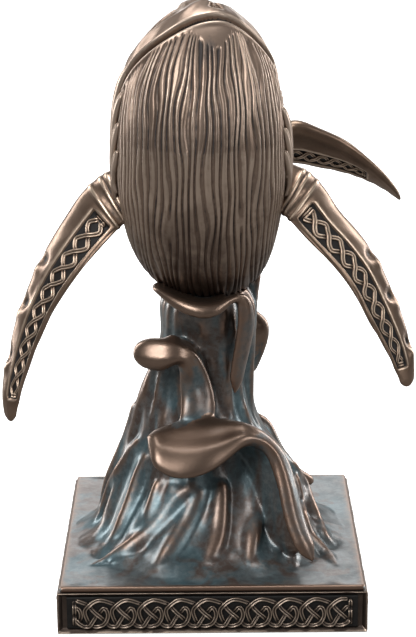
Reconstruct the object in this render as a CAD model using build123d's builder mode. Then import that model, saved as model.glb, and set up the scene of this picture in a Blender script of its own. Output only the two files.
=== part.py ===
from build123d import *
import os
from math import cos, pi, radians, sin

# Whale figurine: a humpback leaps from a curling wave, on a square plinth with knotwork friezes.
# The real one is cast in resin and bronze powder, in pieces that are glued over steel dowels.
# Millimetres. The origin is the middle of the felt's underside, +X is the viewer's right,
# +Y is away from the viewer and +Z is up. The whale's throat faces the viewer.

# Driving dimensions: plinth, friezes and felt
plinth_width = 90.0
plinth_height = 12.6
plinth_round = 0.8
frame_bar = 1.3
panel_depth = 1.6
frieze_backing = 0.8
frieze_relief = 0.6
band_width = 1.2
knot_pitch = 7.8
felt_thickness = 1.2
felt_proud = 0.3
felt_inset = 2.5
felt_corner = 3.0

# Driving dimensions: the water
slab_inset = 0.8
slab_thickness = 1.7
slab_round = 0.5
water_folds = 11
fold_depth = 1.2
joint_height = 24.0
mound_width = 76.0
mound_depth = 68.0
column_width = 53.0
column_depth = 40.0
cradle_width = 32.5
cradle_reach = 37.0
front_crest_width = 31.0
front_crest_reach = 34.0
front_crest_height = 38.0
front_crest_thickness = 8.5
left_crest_width = 17.0
left_crest_reach = 27.0
left_crest_height = 63.0
left_crest_thickness = 7.5
rear_crest_width = 15.0
rear_crest_reach = 23.0
rear_crest_height = 63.0
rear_crest_thickness = 6.5
swell_width = 17.0
swell_reach = 36.0
swell_height = 19.0
swell_thickness = 9.0

# Driving dimensions: the whale
saddle_height = 87.0
whale_width = 47.5
whale_depth = 39.0
whale_rise = 90.4
whale_reach = 84.0
girth_points = 16
fin_station = 4
flipper_length = 74.0
flipper_chord = 18.0
flipper_thickness = 6.5
fluke_span = 86.0
fluke_chord = 20.0
fluke_thickness = 7.0
fluke_droop = 52.0
dorsal_fin_height = 4.5
dorsal_fin_length = 14.0
dorsal_fin_thickness = 4.0
dorsal_fin_taper = 4.0

# Driving dimensions: steel dowels, their bores and the glue round them
glue_gap = 0.1
trunk_dowel_radius = 3.0
trunk_dowel_grip = 9.0
saddle_dowel_radius = 2.5
saddle_dowel_grip = 12.0
limb_dowel_radius = 1.25
limb_dowel_grip = 6.0
fluke_dowel_grip = 3.0
crest_dowel_radius = 1.0
crest_dowel_grip = 4.5
cut_overrun = 2.0
half_turn = 180

# Places that follow from the stack of plinth, slab, water and whale
plinth_top = felt_proud + plinth_height
slab_top = plinth_top + slab_thickness
joint_level = slab_top + joint_height
half_plinth = plinth_width / 2
water_rise = saddle_height - slab_top
whale_start = Vector(0, 0, saddle_height)


def placed(shares, sizes, start):
    """Points from a table of shares, each axis with its own size, counted from a start."""
    return [start + Vector(*(share * size for share, size in zip(row, sizes))) for row in shares]


def egg_points(half_width, back, belly, count):
    """Points round an egg: one half-depth on the back's side and another on the belly's side."""
    points = []
    for index in range(count):
        angle = 2 * pi * index / count
        depth = back if sin(angle) > 0 else belly
        points.append((half_width * cos(angle), depth * sin(angle)))
    return points


def folded_points(half_width, half_depth, fold):
    """Points round an oval whose edge runs in and out, as the folds of falling water do."""
    points = []
    for index in range(2 * water_folds):
        angle = pi * index / water_folds
        reach = fold if index % 2 else -fold
        points.append(((half_width + reach) * cos(angle), (half_depth + reach) * sin(angle)))
    return points


def outline_face(plane, points):
    """The flat face inside one closed smooth outline on a plane."""
    with BuildSketch(plane) as outline:
        with BuildLine():
            Spline(*points, periodic=True)
        make_face()
    return outline.sketch.face()


def planes_along(points, side, turns=None):
    """Planes square to the smooth line through points, each with its X as near a side as it can be."""
    line = Edge.make_spline(points)
    planes = []
    for index, point in enumerate(points):
        tangent = line.tangent_at(line.param_at_point(point))
        across = (side - tangent * tangent.dot(side)).normalized()
        if turns:
            turn = radians(turns[index])
            across = across * cos(turn) + tangent.cross(across) * sin(turn)
        planes.append(Plane(origin=point, x_dir=across, z_dir=tangent))
    return planes


def egg_sections(planes, girth_shares, width, depth, count):
    """Egg-shaped faces along a body, one on each plane, from shares of its width and depth."""
    faces = []
    for plane, (half_width, back, belly) in zip(planes, girth_shares):
        points = egg_points(half_width * width, back * depth, belly * depth, count)
        faces.append(outline_face(plane, points))
    return faces


def oval_sections(planes, size_shares, width, thickness):
    """Oval faces along a crest, each of two half ellipses, from shares of its width and thickness."""
    faces = []
    for plane, (half_width, top, bottom) in zip(planes, size_shares):
        with BuildSketch(plane) as outline:
            with BuildLine():
                for depth, first_angle in ((top, 0), (bottom, half_turn)):
                    EllipticalCenterArc(
                        (0, 0), half_width * width, depth * thickness,
                        start_angle=first_angle, arc_size=half_turn,
                    )
            make_face()
        faces.append(outline.sketch.face())
    return faces


def blade_sections(planes, size_shares, chord, thickness, lead):
    """Blade-shaped faces from shares of the chord and the thickness, with the thick leading edge
    against each plane's X where lead is 1, and along it where lead is -1."""
    faces = []
    for plane, (long_share, thick_share) in zip(planes, size_shares):
        points = [
            (lead * along * long_share * chord, lead * up * thick_share * thickness)
            for along, up in blade_outline_shares
        ]
        faces.append(outline_face(plane, points))
    return faces


def water_section(row, level, rise, width, depth, fold):
    """One folded face of the water, from shares of its rise, width and depth."""
    height, half_width, half_depth, shift_x, shift_y, fold_share = row
    centre = (shift_x * width, shift_y * depth, level + height * rise)
    points = folded_points(half_width * width, half_depth * depth, fold_share * fold)
    return outline_face(Plane(origin=centre), points)


def dowel(start, end, radius):
    """A straight round bar between two points."""
    bar_axis = end - start
    with BuildPart() as bar:
        with BuildSketch(Plane(origin=start, z_dir=bar_axis.normalized())):
            Circle(radius)
        extrude(amount=bar_axis.length)
    return bar.part


def bore(start, end, radius):
    """The blind bore that a dowel sits in, one glue gap larger all round."""
    reach = (end - start).normalized() * glue_gap
    return dowel(start - reach, end + reach, radius + glue_gap)


# Shares of the blade's chord, leading edge first, and of its thickness
blade_outline_shares = [
    (-0.5, 0), (-0.39, 0.38), (-0.12, 0.5), (0.2, 0.37), (0.42, 0.16),
    (0.5, 0), (0.42, -0.16), (0.2, -0.37), (-0.12, -0.5), (-0.39, -0.38),
]

# Whale's spine from the tail to the rostrum: x of the width, y of the reach, z of the rise
spine_shares = [
    (0.432, 0.857, 0.35), (0.368, 0.738, 0.312), (0.284, 0.595, 0.247), (0.19, 0.44, 0.194),
    (0.095, 0.262, 0.16), (0.015, 0.083, 0.183), (-0.034, -0.054, 0.254), (-0.048, -0.137, 0.393),
    (-0.046, -0.173, 0.564), (-0.042, -0.161, 0.719), (-0.025, -0.143, 0.841),
    (-0.006, -0.125, 0.924), (0.01, -0.107, 0.973),
]
# Whale's girth at each of those: half-width of the width, back and belly of the depth
girth_shares = [
    (0.088, 0.103, 0.103), (0.105, 0.162, 0.162), (0.147, 0.226, 0.226), (0.21, 0.282, 0.295),
    (0.295, 0.333, 0.36), (0.379, 0.385, 0.436), (0.453, 0.423, 0.5), (0.499, 0.462, 0.526),
    (0.505, 0.474, 0.526), (0.478, 0.436, 0.474), (0.4, 0.346, 0.385), (0.282, 0.231, 0.269),
    (0.158, 0.128, 0.154),
]
rostrum_tip_share = (0.023, -0.099, 1)

# Flippers from inside the body to the tip: out, back and up of the length, from the root
left_flipper_shares = [
    (-0.15, 0.03, 0.04), (0, 0, 0), (0.104, -0.013, -0.101), (0.2, -0.027, -0.23),
    (0.28, -0.04, -0.36), (0.347, -0.061, -0.507), (0.394, -0.088, -0.649),
    (0.424, -0.122, -0.777), (0.43, -0.147, -0.872),
]
right_flipper_shares = [
    (-0.15, 0.03, 0.04), (0, 0, 0), (0.088, -0.013, -0.101), (0.18, -0.02, -0.203),
    (0.27, -0.027, -0.324), (0.345, -0.04, -0.473), (0.392, -0.054, -0.574),
    (0.426, -0.074, -0.669), (0.446, -0.095, -0.766),
]
flipper_size_shares = [
    (0.86, 1.15), (0.94, 1.15), (1, 1), (0.96, 0.95), (0.88, 0.88), (0.76, 0.8), (0.62, 0.68),
    (0.5, 0.55), (0.28, 0.3),
]
left_flipper_turns = [60, 52, 42, 36, 33, 33, 33, 33, 33]
right_flipper_turns = [56, 46, 35, 34, 36, 40, 42, 42, 42]
left_root_share = (0.568, -0.095, 0.376)
right_root_share = (0.526, -0.095, 0.384)

# Fluke's right half from the notch to the tip: out of the half-span, back and down of the chord
fluke_place_shares = [
    (0, 0, 0), (0.14, 0, 0.06), (0.34, 0, -0.02), (0.55, 0.02, -0.16), (0.74, 0.06, -0.36),
    (0.9, 0.1, -0.6), (1, 0.14, -0.8),
]
fluke_size_shares = [
    (0.86, 1), (1, 1), (0.96, 0.86), (0.8, 0.7), (0.56, 0.5), (0.34, 0.34), (0.16, 0.2),
]

# Water from the slab up: height, half-width, half-depth, shift in x and y, fold
mound_shares = [
    (0, 0.5, 0.5, 0.01, -0.03, 1.6), (0.18, 0.47, 0.45, 0.005, -0.03, 1.5),
    (0.5, 0.415, 0.37, -0.01, -0.02, 1.3), (1, 0.35, 0.294, -0.03, 0, 1),
]
column_shares = [
    (0, 0.5, 0.5, -0.043, 0, 1), (0.24, 0.42, 0.42, -0.055, 0.01, 1),
    (0.5, 0.32, 0.36, -0.08, 0.03, 1), (0.74, 0.29, 0.325, -0.045, 0.03, 0.8),
    (1, 0.275, 0.34, -0.03, 0, 0.6),
]
cradle_shares = [
    (0, 0.41, 0.37, -0.045, 0, 0.6), (0.4, 0.475, 0.47, -0.05, -0.01, 0.5),
    (0.75, 0.505, 0.505, -0.045, 0, 0.3), (1, 0.5, 0.48, -0.03, 0.06, 0.2),
]
column_top_share = 0.93
cradle_top_share = 1.06

# Crests from inside the water to the lip: x of the width, out of the reach, z of the thickness
front_crest_shares = [
    (0.02, 0.12, 0.1), (-0.02, 0.5, 0.12), (-0.08, 0.78, 0.03), (-0.15, 0.96, -0.24),
    (-0.2, 1.05, -0.6),
]
front_crest_size_shares = [
    (0.42, 0.4, 0.5), (0.48, 0.4, 0.48), (0.53, 0.38, 0.4), (0.46, 0.32, 0.3), (0.24, 0.16, 0.16),
]
left_crest_shares = [
    (0.1, 0.08, -0.9), (-0.3, 0.48, -0.1), (-0.5, 0.7, 0.25), (-0.68, 0.84, 0.05),
    (-0.77, 0.9, -0.35),
]
left_crest_size_shares = [
    (0.4, 0.5, 0.5), (0.46, 0.48, 0.48), (0.5, 0.42, 0.4), (0.42, 0.32, 0.3), (0.2, 0.16, 0.16),
]
rear_crest_shares = [
    (0.2, 0.15, -1.3), (0.7, 0.5, -0.3), (0.95, 0.7, 0.2), (1.1, 0.85, 0.1), (1.17, 0.93, -0.3),
]
rear_crest_size_shares = [
    (0.4, 0.5, 0.5), (0.46, 0.48, 0.48), (0.48, 0.42, 0.4), (0.4, 0.32, 0.3), (0.2, 0.16, 0.16),
]
swell_shares = [
    (0.4, 0.2, -0.4), (0.95, 0.32, 0.1), (1.3, 0.38, -0.1), (1.65, 0.44, -0.7),
    (1.9, 0.48, -1.3),
]
swell_size_shares = [
    (0.4, 0.5, 0.5), (0.46, 0.5, 0.5), (0.48, 0.46, 0.46), (0.42, 0.4, 0.4), (0.3, 0.24, 0.24),
]


# Felt pad, let into the plinth's underside
felt_width = plinth_width - 2 * (frame_bar + felt_inset)
with BuildPart() as felt_pad:
    with BuildSketch(Plane.XY):
        RectangleRounded(felt_width, felt_width, felt_corner)
    extrude(amount=felt_thickness)

# Frieze strips, each a backing with interlaced loops in relief, let into the plinth's four sides
panel_height = plinth_height - 2 * frame_bar
panel_length = plinth_width - 2 * (frame_bar + panel_depth)
panel_middle = felt_proud + plinth_height / 2
frieze_length = panel_length - 2 * glue_gap
frieze_height = panel_height - 2 * glue_gap
loop_height = frieze_height - 2 * band_width
loop_count = 2 * int((frieze_length - 2 * band_width - loop_height) / knot_pitch) + 1
side_turns = {"front": 0, "right": 90, "back": 180, "left": 270}
friezes = {}
for side, turn in side_turns.items():
    backing_plane = Plane.XZ.rotated((0, 0, turn)).offset(half_plinth - panel_depth)
    with BuildPart() as frieze:
        with BuildSketch(backing_plane):
            with Locations((0, panel_middle)):
                Rectangle(frieze_length, frieze_height)
        extrude(amount=frieze_backing)
        with BuildSketch(backing_plane.offset(frieze_backing)):
            with Locations((0, panel_middle)):
                Rectangle(frieze_length, frieze_height)
                Rectangle(frieze_length - 2 * band_width, loop_height, mode=Mode.SUBTRACT)
                with GridLocations(knot_pitch / 2, 0, loop_count, 1):
                    Circle(loop_height / 2 + glue_gap)
                with GridLocations(knot_pitch / 2, 0, loop_count, 1):
                    Circle(loop_height / 2 - band_width, mode=Mode.SUBTRACT)
        extrude(amount=frieze_relief)
    friezes[side] = frieze

# Plinth, a solid square block with a frame round each sunk side
with BuildPart() as plinth:
    with BuildSketch(Plane.XY.offset(felt_proud)):
        RectangleRounded(plinth_width, plinth_width, plinth_round)
    extrude(amount=plinth_height)
    fillet(plinth.faces().filter_by(Axis.Z).edges(), radius=plinth_round / 2)
    with BuildSketch(Plane.XY):
        felt_recess = felt_width + 2 * glue_gap
        RectangleRounded(felt_recess, felt_recess, felt_corner)
    extrude(amount=felt_thickness, mode=Mode.SUBTRACT)
    for turn in side_turns.values():
        recess_plane = Plane.XZ.rotated((0, 0, turn)).offset(half_plinth - panel_depth)
        with BuildSketch(recess_plane):
            with Locations((0, panel_middle)):
                Rectangle(panel_length, panel_height)
        extrude(amount=panel_depth + cut_overrun, mode=Mode.SUBTRACT)

# Whale's body, from the tail stock round the saddle to the rostrum, with its dorsal hump
spine_points = placed(spine_shares, (whale_width, whale_reach, whale_rise), whale_start)
spine_planes = planes_along(spine_points, Vector(1, 0, 0))
rostrum_tip = placed([rostrum_tip_share], (whale_width, whale_reach, whale_rise), whale_start)[0]
fin_plane = spine_planes[fin_station]
fin_foot = spine_points[fin_station] + fin_plane.y_dir * (
    girth_shares[fin_station][1] * whale_depth - dorsal_fin_height
)
with BuildPart() as whale_body:
    body_faces = egg_sections(spine_planes, girth_shares, whale_width, whale_depth, girth_points)
    loft(sections=[*body_faces, Vertex(*rostrum_tip)])
    with BuildSketch(Plane(origin=fin_foot, x_dir=fin_plane.z_dir, z_dir=fin_plane.y_dir)):
        Ellipse(dorsal_fin_length / 2, dorsal_fin_thickness / 2)
    extrude(amount=2 * dorsal_fin_height, taper=dorsal_fin_taper)

# Flippers, thick leading edge outwards, hanging from the shoulders; the left one is mirrored
flipper_roots = {}
flippers = {}
flipper_lengths = (flipper_length, flipper_length, flipper_length)
for side, hand, root_share, shares, turns in (
    ("left", -1, left_root_share, left_flipper_shares, left_flipper_turns),
    ("right", 1, right_root_share, right_flipper_shares, right_flipper_turns),
):
    root = placed([root_share], (whale_width, whale_reach, whale_rise), whale_start)[0]
    blade_planes = planes_along(placed(shares, flipper_lengths, root), Vector(0, 1, 0), turns)
    with BuildPart() as flipper:
        loft(sections=blade_sections(
            blade_planes, flipper_size_shares, flipper_chord, flipper_thickness, -1
        ))
        if hand < 0:
            mirror(about=Plane.YZ, mode=Mode.REPLACE)
    along = blade_planes[1].z_dir
    flipper_roots[side] = (
        Vector(hand * root.X, root.Y, root.Z), Vector(hand * along.X, along.Y, along.Z)
    )
    flippers[side] = flipper

# Tail fluke, two lobes that droop behind the whale
fluke_centre = spine_points[0]
droop = radians(fluke_droop)
fluke_back = Vector(0, cos(droop), -sin(droop))
fluke_face = Vector(0, sin(droop), cos(droop))
half_span = fluke_span / 2


def fluke_place(row, hand):
    """A place on the fluke, from its shares and the hand of its lobe."""
    out, back, down = row
    shift = Vector(hand * out * half_span, 0, down * fluke_chord)
    return fluke_centre + shift + fluke_back * (back * fluke_chord)


lobe_rows = list(zip(fluke_place_shares, fluke_size_shares))
with BuildPart() as tail_fluke:
    fluke_planes = []
    fluke_sizes = []
    for hand, rows in ((-1, lobe_rows[:0:-1]), (1, lobe_rows)):
        for place_row, size_row in rows:
            place = fluke_place(place_row, hand)
            fluke_planes.append(Plane(origin=place, x_dir=fluke_back, z_dir=Vector(1, 0, 0)))
            fluke_sizes.append(size_row)
    loft(sections=blade_sections(fluke_planes, fluke_sizes, fluke_chord, fluke_thickness, 1))

# Sea slab with the mound of water that rises from it to the joint with the column
slab_width = plinth_width - 2 * slab_inset
with BuildPart() as sea_slab:
    with BuildSketch(Plane.XY.offset(plinth_top)):
        RectangleRounded(slab_width, slab_width, plinth_round)
    extrude(amount=slab_thickness)
    fillet(sea_slab.faces().sort_by(Axis.Z)[-1].edges(), radius=slab_round)
    loft(
        sections=[
            water_section(row, slab_top, joint_height, mound_width, mound_depth, fold_depth)
            for row in mound_shares
        ]
    )

# Wave column, which carries the whale
column_rise = column_top_share * water_rise - joint_height
with BuildPart() as wave_column:
    loft(
        sections=[
            water_section(row, joint_level, column_rise, column_width, column_depth, fold_depth)
            for row in column_shares
        ]
    )
column_top = joint_level + column_rise

# Cradle crest, the rim of water that the belly lies in
cradle_rise = (cradle_top_share - column_top_share) * water_rise
with BuildPart() as cradle_crest:
    loft(
        sections=[
            water_section(row, column_top, cradle_rise, cradle_width, cradle_reach, fold_depth)
            for row in cradle_shares
        ]
    )


def crest_planes(shares, width, reach, thickness, height):
    """The planes along a crest that comes forwards, from inside the water out to its lip."""
    start = Vector(column_shares[2][3] * column_width, 0, slab_top + height)
    return planes_along(placed(shares, (width, -reach, thickness), start), Vector(1, 0, 0))


crest_tables = {
    "front_crest": (
        front_crest_shares, front_crest_size_shares, front_crest_width, front_crest_reach,
        front_crest_thickness, front_crest_height,
    ),
    "left_crest": (
        left_crest_shares, left_crest_size_shares, left_crest_width, left_crest_reach,
        left_crest_thickness, left_crest_height,
    ),
    "rear_crest": (
        rear_crest_shares, rear_crest_size_shares, rear_crest_width, rear_crest_reach,
        rear_crest_thickness, rear_crest_height,
    ),
    "right_swell": (
        swell_shares, swell_size_shares, swell_width, swell_reach, swell_thickness, swell_height,
    ),
}
crests = {}
crest_roots = {}
rear_names = ("rear_crest", "right_swell")
for name, (shares, size_shares, width, reach, thickness, height) in crest_tables.items():
    planes = crest_planes(shares, width, reach, thickness, height)
    root = planes[1].origin
    along = planes[1].z_dir
    with BuildPart() as crest:
        loft(sections=oval_sections(planes, size_shares, width, thickness))
        if name in rear_names:
            mirror(about=Plane.XZ, mode=Mode.REPLACE)
            root = Vector(root.X, -root.Y, root.Z)
            along = Vector(along.X, -along.Y, along.Z)
    crests[name] = crest
    crest_roots[name] = (root, along)

# Dowels: the trunk dowel joins plinth, slab and column, the saddle dowel column, cradle and whale
trunk_foot = Vector(column_shares[0][3] * column_width, 0, plinth_top - trunk_dowel_grip)
trunk_head = Vector(trunk_foot.X, 0, joint_level + trunk_dowel_grip)
saddle_foot = Vector(column_shares[4][3] * column_width, 0, column_top - saddle_dowel_grip)
saddle_head = Vector(saddle_foot.X, 0, saddle_height + saddle_dowel_grip)
dowel_ends = {
    "column_pin": (trunk_foot, trunk_head, trunk_dowel_radius),
    "saddle_pin": (saddle_foot, saddle_head, saddle_dowel_radius),
}
for side, (root, along) in flipper_roots.items():
    reach = along * limb_dowel_grip
    dowel_ends[f"{side}_flipper_pin"] = (root - reach, root + reach, limb_dowel_radius)
tail_along = spine_planes[0].z_dir
tail_reach = spine_points[0] + tail_along * (fluke_thickness / 2)
dowel_ends["fluke_pin"] = (
    tail_reach - tail_along * fluke_dowel_grip, tail_reach + tail_along * limb_dowel_grip,
    limb_dowel_radius,
)
for name in ("front_crest", "left_crest", "rear_crest"):
    root, along = crest_roots[name]
    reach = along * crest_dowel_grip
    dowel_ends[f"{name}_pin"] = (root - reach, root + reach, crest_dowel_radius)

# Each casting is cut by its neighbours, so that they meet face to face, and by its dowels' bores
solids = {
    "felt_pad": felt_pad.part,
    "plinth": plinth.part,
    "sea_slab": sea_slab.part,
    "wave_column": wave_column.part,
    "whale_body": whale_body.part - tail_fluke.part,
    "tail_fluke": tail_fluke.part,
}
for side, frieze in friezes.items():
    solids[f"frieze_{side}"] = frieze.part
solids["cradle_crest"] = cradle_crest.part - whale_body.part
solids["left_flipper"] = flippers["left"].part - whale_body.part
solids["right_flipper"] = flippers["right"].part - whale_body.part
neighbours = wave_column.part + sea_slab.part + cradle_crest.part + whale_body.part
for name, crest in crests.items():
    solids[name] = crest.part - neighbours
    neighbours = neighbours + crest.part

bored = {
    "column_pin": ("plinth", "sea_slab", "wave_column"),
    "saddle_pin": ("wave_column", "cradle_crest", "whale_body"),
    "left_flipper_pin": ("whale_body", "left_flipper"),
    "right_flipper_pin": ("whale_body", "right_flipper"),
    "fluke_pin": ("whale_body", "tail_fluke"),
    "front_crest_pin": ("wave_column", "front_crest"),
    "left_crest_pin": ("wave_column", "cradle_crest", "left_crest"),
    "rear_crest_pin": ("wave_column", "cradle_crest", "rear_crest"),
}
for name, (start, end, radius) in dowel_ends.items():
    for casting in bored[name]:
        solids[casting] = solids[casting] - bore(start, end, radius)
    solids[name] = dowel(start, end, radius)

os.makedirs("parts", exist_ok=True)
for name, solid in solids.items():
    solid.label = name
    export_step(solid, f"parts/{name}.step")
    print(name, len(solid.solids()), round(solid.volume, 1))
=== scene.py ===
"""Whale figurine: a humpback leaps from a curling wave on a plinth with knotwork friezes.

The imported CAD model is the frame. Each class builds one sub-assembly of the casting, in resin
and bronze powder under a worn patina, and hands it over in the place of its CAD node. Sizes in
the classes are millimetres or shares of a named size, and finished meshes are in metres.
"""
import logging
import math
from dataclasses import dataclass, field
from enum import Enum, IntEnum
from typing import Callable

import bmesh
import bpy
import numpy as np
from mathutils import Matrix, Vector
from mathutils.bvhtree import BVHTree
from mathutils.kdtree import KDTree


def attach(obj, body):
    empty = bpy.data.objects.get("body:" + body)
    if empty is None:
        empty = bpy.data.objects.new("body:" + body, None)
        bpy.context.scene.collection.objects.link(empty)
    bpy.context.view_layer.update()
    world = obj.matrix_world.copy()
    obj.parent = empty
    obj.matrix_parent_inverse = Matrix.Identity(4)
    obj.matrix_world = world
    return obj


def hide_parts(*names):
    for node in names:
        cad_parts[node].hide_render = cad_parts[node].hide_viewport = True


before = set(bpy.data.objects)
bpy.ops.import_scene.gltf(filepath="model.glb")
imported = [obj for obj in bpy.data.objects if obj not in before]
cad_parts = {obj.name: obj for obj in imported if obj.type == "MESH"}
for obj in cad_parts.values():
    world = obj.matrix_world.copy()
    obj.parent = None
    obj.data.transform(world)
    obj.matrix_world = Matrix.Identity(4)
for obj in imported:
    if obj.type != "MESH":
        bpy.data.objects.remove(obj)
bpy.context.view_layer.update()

MM = 0.001
Place = Callable[[np.ndarray, np.ndarray], np.ndarray]
Colour = tuple[float, float, float]
Spot = tuple[float, float, float]
Table = tuple[tuple[float, ...], ...]
log = logging.getLogger("whale_figurine")


class Seed(IntEnum):
    """Where each run of random draws starts."""

    BACK_RIDGES = 7
    PLINTH_SWELL = 11
    PLINTH_WAVE = 12
    FRIEZE_PITS = 21
    PLEAT_DRIFT = 31
    PLEAT_SHIVER = 32
    PLEAT_WIDTH = 33
    PLEAT_KEPT = 34
    SKIN_WAVE = 35
    BAND_WAVE = 41
    FOLD_DRIFT = 51
    FOLD_REACH = 52
    SEA_SWELL = 61
    SEA_RIPPLE = 62


# Lines, waves and meshes


def spline_through(knots: np.ndarray, rows: np.ndarray, at: np.ndarray) -> np.ndarray:
    """Reads the natural cubic spline that goes through a table's rows.

    Args:
        knots: Rising positions of the rows.
        rows: One row of values for each knot.
        at: Positions to read.

    Returns:
        One row of values for each position.
    """
    knots, rows = np.asarray(knots, float), np.asarray(rows, float)
    gaps, count = np.diff(knots), len(knots)
    system = np.eye(count)
    right = np.zeros_like(rows)
    for k in range(1, count - 1):
        system[k, k - 1:k + 2] = gaps[k - 1], 2 * (gaps[k - 1] + gaps[k]), gaps[k]
        right[k] = 6 * ((rows[k + 1] - rows[k]) / gaps[k] - (rows[k] - rows[k - 1]) / gaps[k - 1])
    bend = np.linalg.solve(system, right)
    k = np.clip(np.searchsorted(knots, at, side="right") - 1, 0, count - 2)
    ahead, behind = (knots[k + 1] - at)[:, None], (at - knots[k])[:, None]
    gap = gaps[k][:, None]
    return (
        bend[k] * ahead ** 3 / (6 * gap) + bend[k + 1] * behind ** 3 / (6 * gap)
        + (rows[k] / gap - bend[k] * gap / 6) * ahead + (rows[k + 1] / gap - bend[k + 1] * gap / 6) * behind
    )


def travelled(points: np.ndarray) -> np.ndarray:
    """The distance along a run of points, from 0 at the first."""
    steps = np.linalg.norm(np.diff(points, axis=0), axis=1)
    return np.concatenate([[0.0], np.cumsum(steps)])


def smooth_run(points: list, count: int) -> np.ndarray:
    """Evenly spaced points on the smooth line through a few.

    Args:
        points: The few points, flat or in space.
        count: How many to give.

    Returns:
        The points, one a row.
    """
    points = np.asarray(points, float)
    knots = travelled(points)
    fine = spline_through(knots, points, np.linspace(0, knots[-1], 4 * count))
    far = travelled(fine)
    at = np.linspace(0, far[-1], count)
    return np.stack([np.interp(at, far, axis) for axis in fine.T], axis=1)


def bell(x: np.ndarray, centre: float, width: float) -> np.ndarray:
    """A bell curve of height 1."""
    return np.exp(-(((x - centre) / width) ** 2))


def bells(x: np.ndarray, rows: Table) -> np.ndarray:
    """A sum of bell curves, each a row of height, centre and width."""
    return sum(height * bell(x, centre, width) for height, centre, width in rows)


def ease(x: np.ndarray, low: float, high: float) -> np.ndarray:
    """A smooth step from 0 at low to 1 at high; low may be the larger."""
    share = np.clip((x - low) / (high - low), 0, 1)
    return share * share * (3 - 2 * share)


def wander(x: np.ndarray, y: np.ndarray, seed: Seed, waves: int = 7) -> np.ndarray:
    """A smooth, irregular wave over two coordinates, about -1 to 1, with features about 1 across."""
    dice = np.random.default_rng(int(seed))
    total = np.zeros(np.broadcast(x, y).shape)
    for _ in range(waves):
        turn, phase = dice.uniform(0, 2 * np.pi, 2)
        pace = dice.uniform(1.6, 4.2)
        total += np.sin(pace * (x * np.cos(turn) + y * np.sin(turn)) + phase)
    return total / math.sqrt(waves)


def unit(vectors: np.ndarray) -> np.ndarray:
    """The vectors at length 1."""
    return vectors / np.maximum(np.linalg.norm(vectors, axis=-1, keepdims=True), 1e-12)


def read_points(mesh: bpy.types.Mesh) -> np.ndarray:
    """A mesh's points, in mm."""
    flat = np.empty(3 * len(mesh.vertices), np.float32)
    mesh.vertices.foreach_get("co", flat)
    return flat.reshape(-1, 3).astype(float) / MM


def write_points(mesh: bpy.types.Mesh, points: np.ndarray) -> None:
    """Moves a mesh's points to places in mm."""
    mesh.vertices.foreach_set("co", (points * MM).astype(np.float32).ravel())
    mesh.update()


def write_share(mesh: bpy.types.Mesh, name: str, values: np.ndarray) -> None:
    """Keeps one number for each point of a mesh under a name."""
    layer = mesh.attributes.get(name) or mesh.attributes.new(name, "FLOAT", "POINT")
    layer.data.foreach_set("value", np.asarray(values, np.float32))


def linked(name: str, mesh: bpy.types.Mesh) -> bpy.types.Object:
    """A new object of the scene for a mesh."""
    piece = bpy.data.objects.new(name, mesh)
    bpy.context.scene.collection.objects.link(piece)
    return piece


def finished(name: str, made: bmesh.types.BMesh, smooth: bool = True) -> bpy.types.Object:
    """A bmesh as an object of the scene, in metres; the bmesh goes.

    Args:
        name: The object's name.
        made: The bmesh.
        smooth: Whether it is shaded smooth.
    """
    mesh = bpy.data.meshes.new(name)
    made.to_mesh(mesh)
    made.free()
    if smooth:
        mesh.shade_smooth()
    return linked(name, mesh)


def square_box(width: float, height: float, foot: float) -> bmesh.types.BMesh:
    """A square box that stands on the level foot, in mm, to be shaped further."""
    made = bmesh.new()
    bmesh.ops.create_cube(made, size=1)
    bmesh.ops.scale(made, vec=(width, width, height), verts=made.verts)
    bmesh.ops.translate(made, vec=(0, 0, foot + height / 2), verts=made.verts)
    return made


def round_edges(made: bmesh.types.BMesh, edges: list[bmesh.types.BMEdge], reach: float,
                segments: int) -> None:
    """Rounds edges of a bmesh over a reach on either side."""
    bmesh.ops.bevel(made, geom=edges, offset=reach, segments=segments, profile=0.5, affect="EDGES",
                    material=-1)


def to_metres(made: bmesh.types.BMesh) -> None:
    """Turns a bmesh's millimetres into metres."""
    bmesh.ops.scale(made, vec=(MM, MM, MM), verts=made.verts)


def formed_grid(name: str, columns: int, rows: int, place: Place) -> bpy.types.Object:
    """A grid that a formula brings into shape, with its seams and poles merged.

    Args:
        name: The object's name.
        columns: Faces along the first share.
        rows: Faces along the second share.
        place: Takes two arrays of shares from 0 to 1 and gives rows of x, y, z in mm, and after
            them, if it likes, the relief there.

    Returns:
        The new object, linked to the scene.
    """
    grid = bmesh.new()
    bmesh.ops.create_grid(grid, x_segments=columns, y_segments=rows, size=0.5)
    mesh = bpy.data.meshes.new(name)
    grid.to_mesh(mesh)
    flat = read_points(mesh)[:, :2]
    shares = (flat - flat.min(axis=0)) / np.ptp(flat, axis=0)
    formed = place(shares[:, 0], shares[:, 1])
    write_points(mesh, formed[:, :3])
    if formed.shape[1] > 3:
        write_share(mesh, "relief", formed[:, 3])
    grid.clear()
    grid.from_mesh(mesh)
    bmesh.ops.remove_doubles(grid, verts=grid.verts, dist=0.004 * MM)
    bmesh.ops.recalc_face_normals(grid, faces=grid.faces)
    grid.to_mesh(mesh)
    grid.free()
    mesh.shade_smooth()
    return linked(name, mesh)


def joined(name: str, parts: list[bpy.types.Object]) -> bpy.types.Object:
    """Several meshes as one object; the separate ones go."""
    whole = bmesh.new()
    for part in parts:
        whole.from_mesh(part.data)
        bpy.data.objects.remove(part)
    return finished(name, whole)


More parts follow.
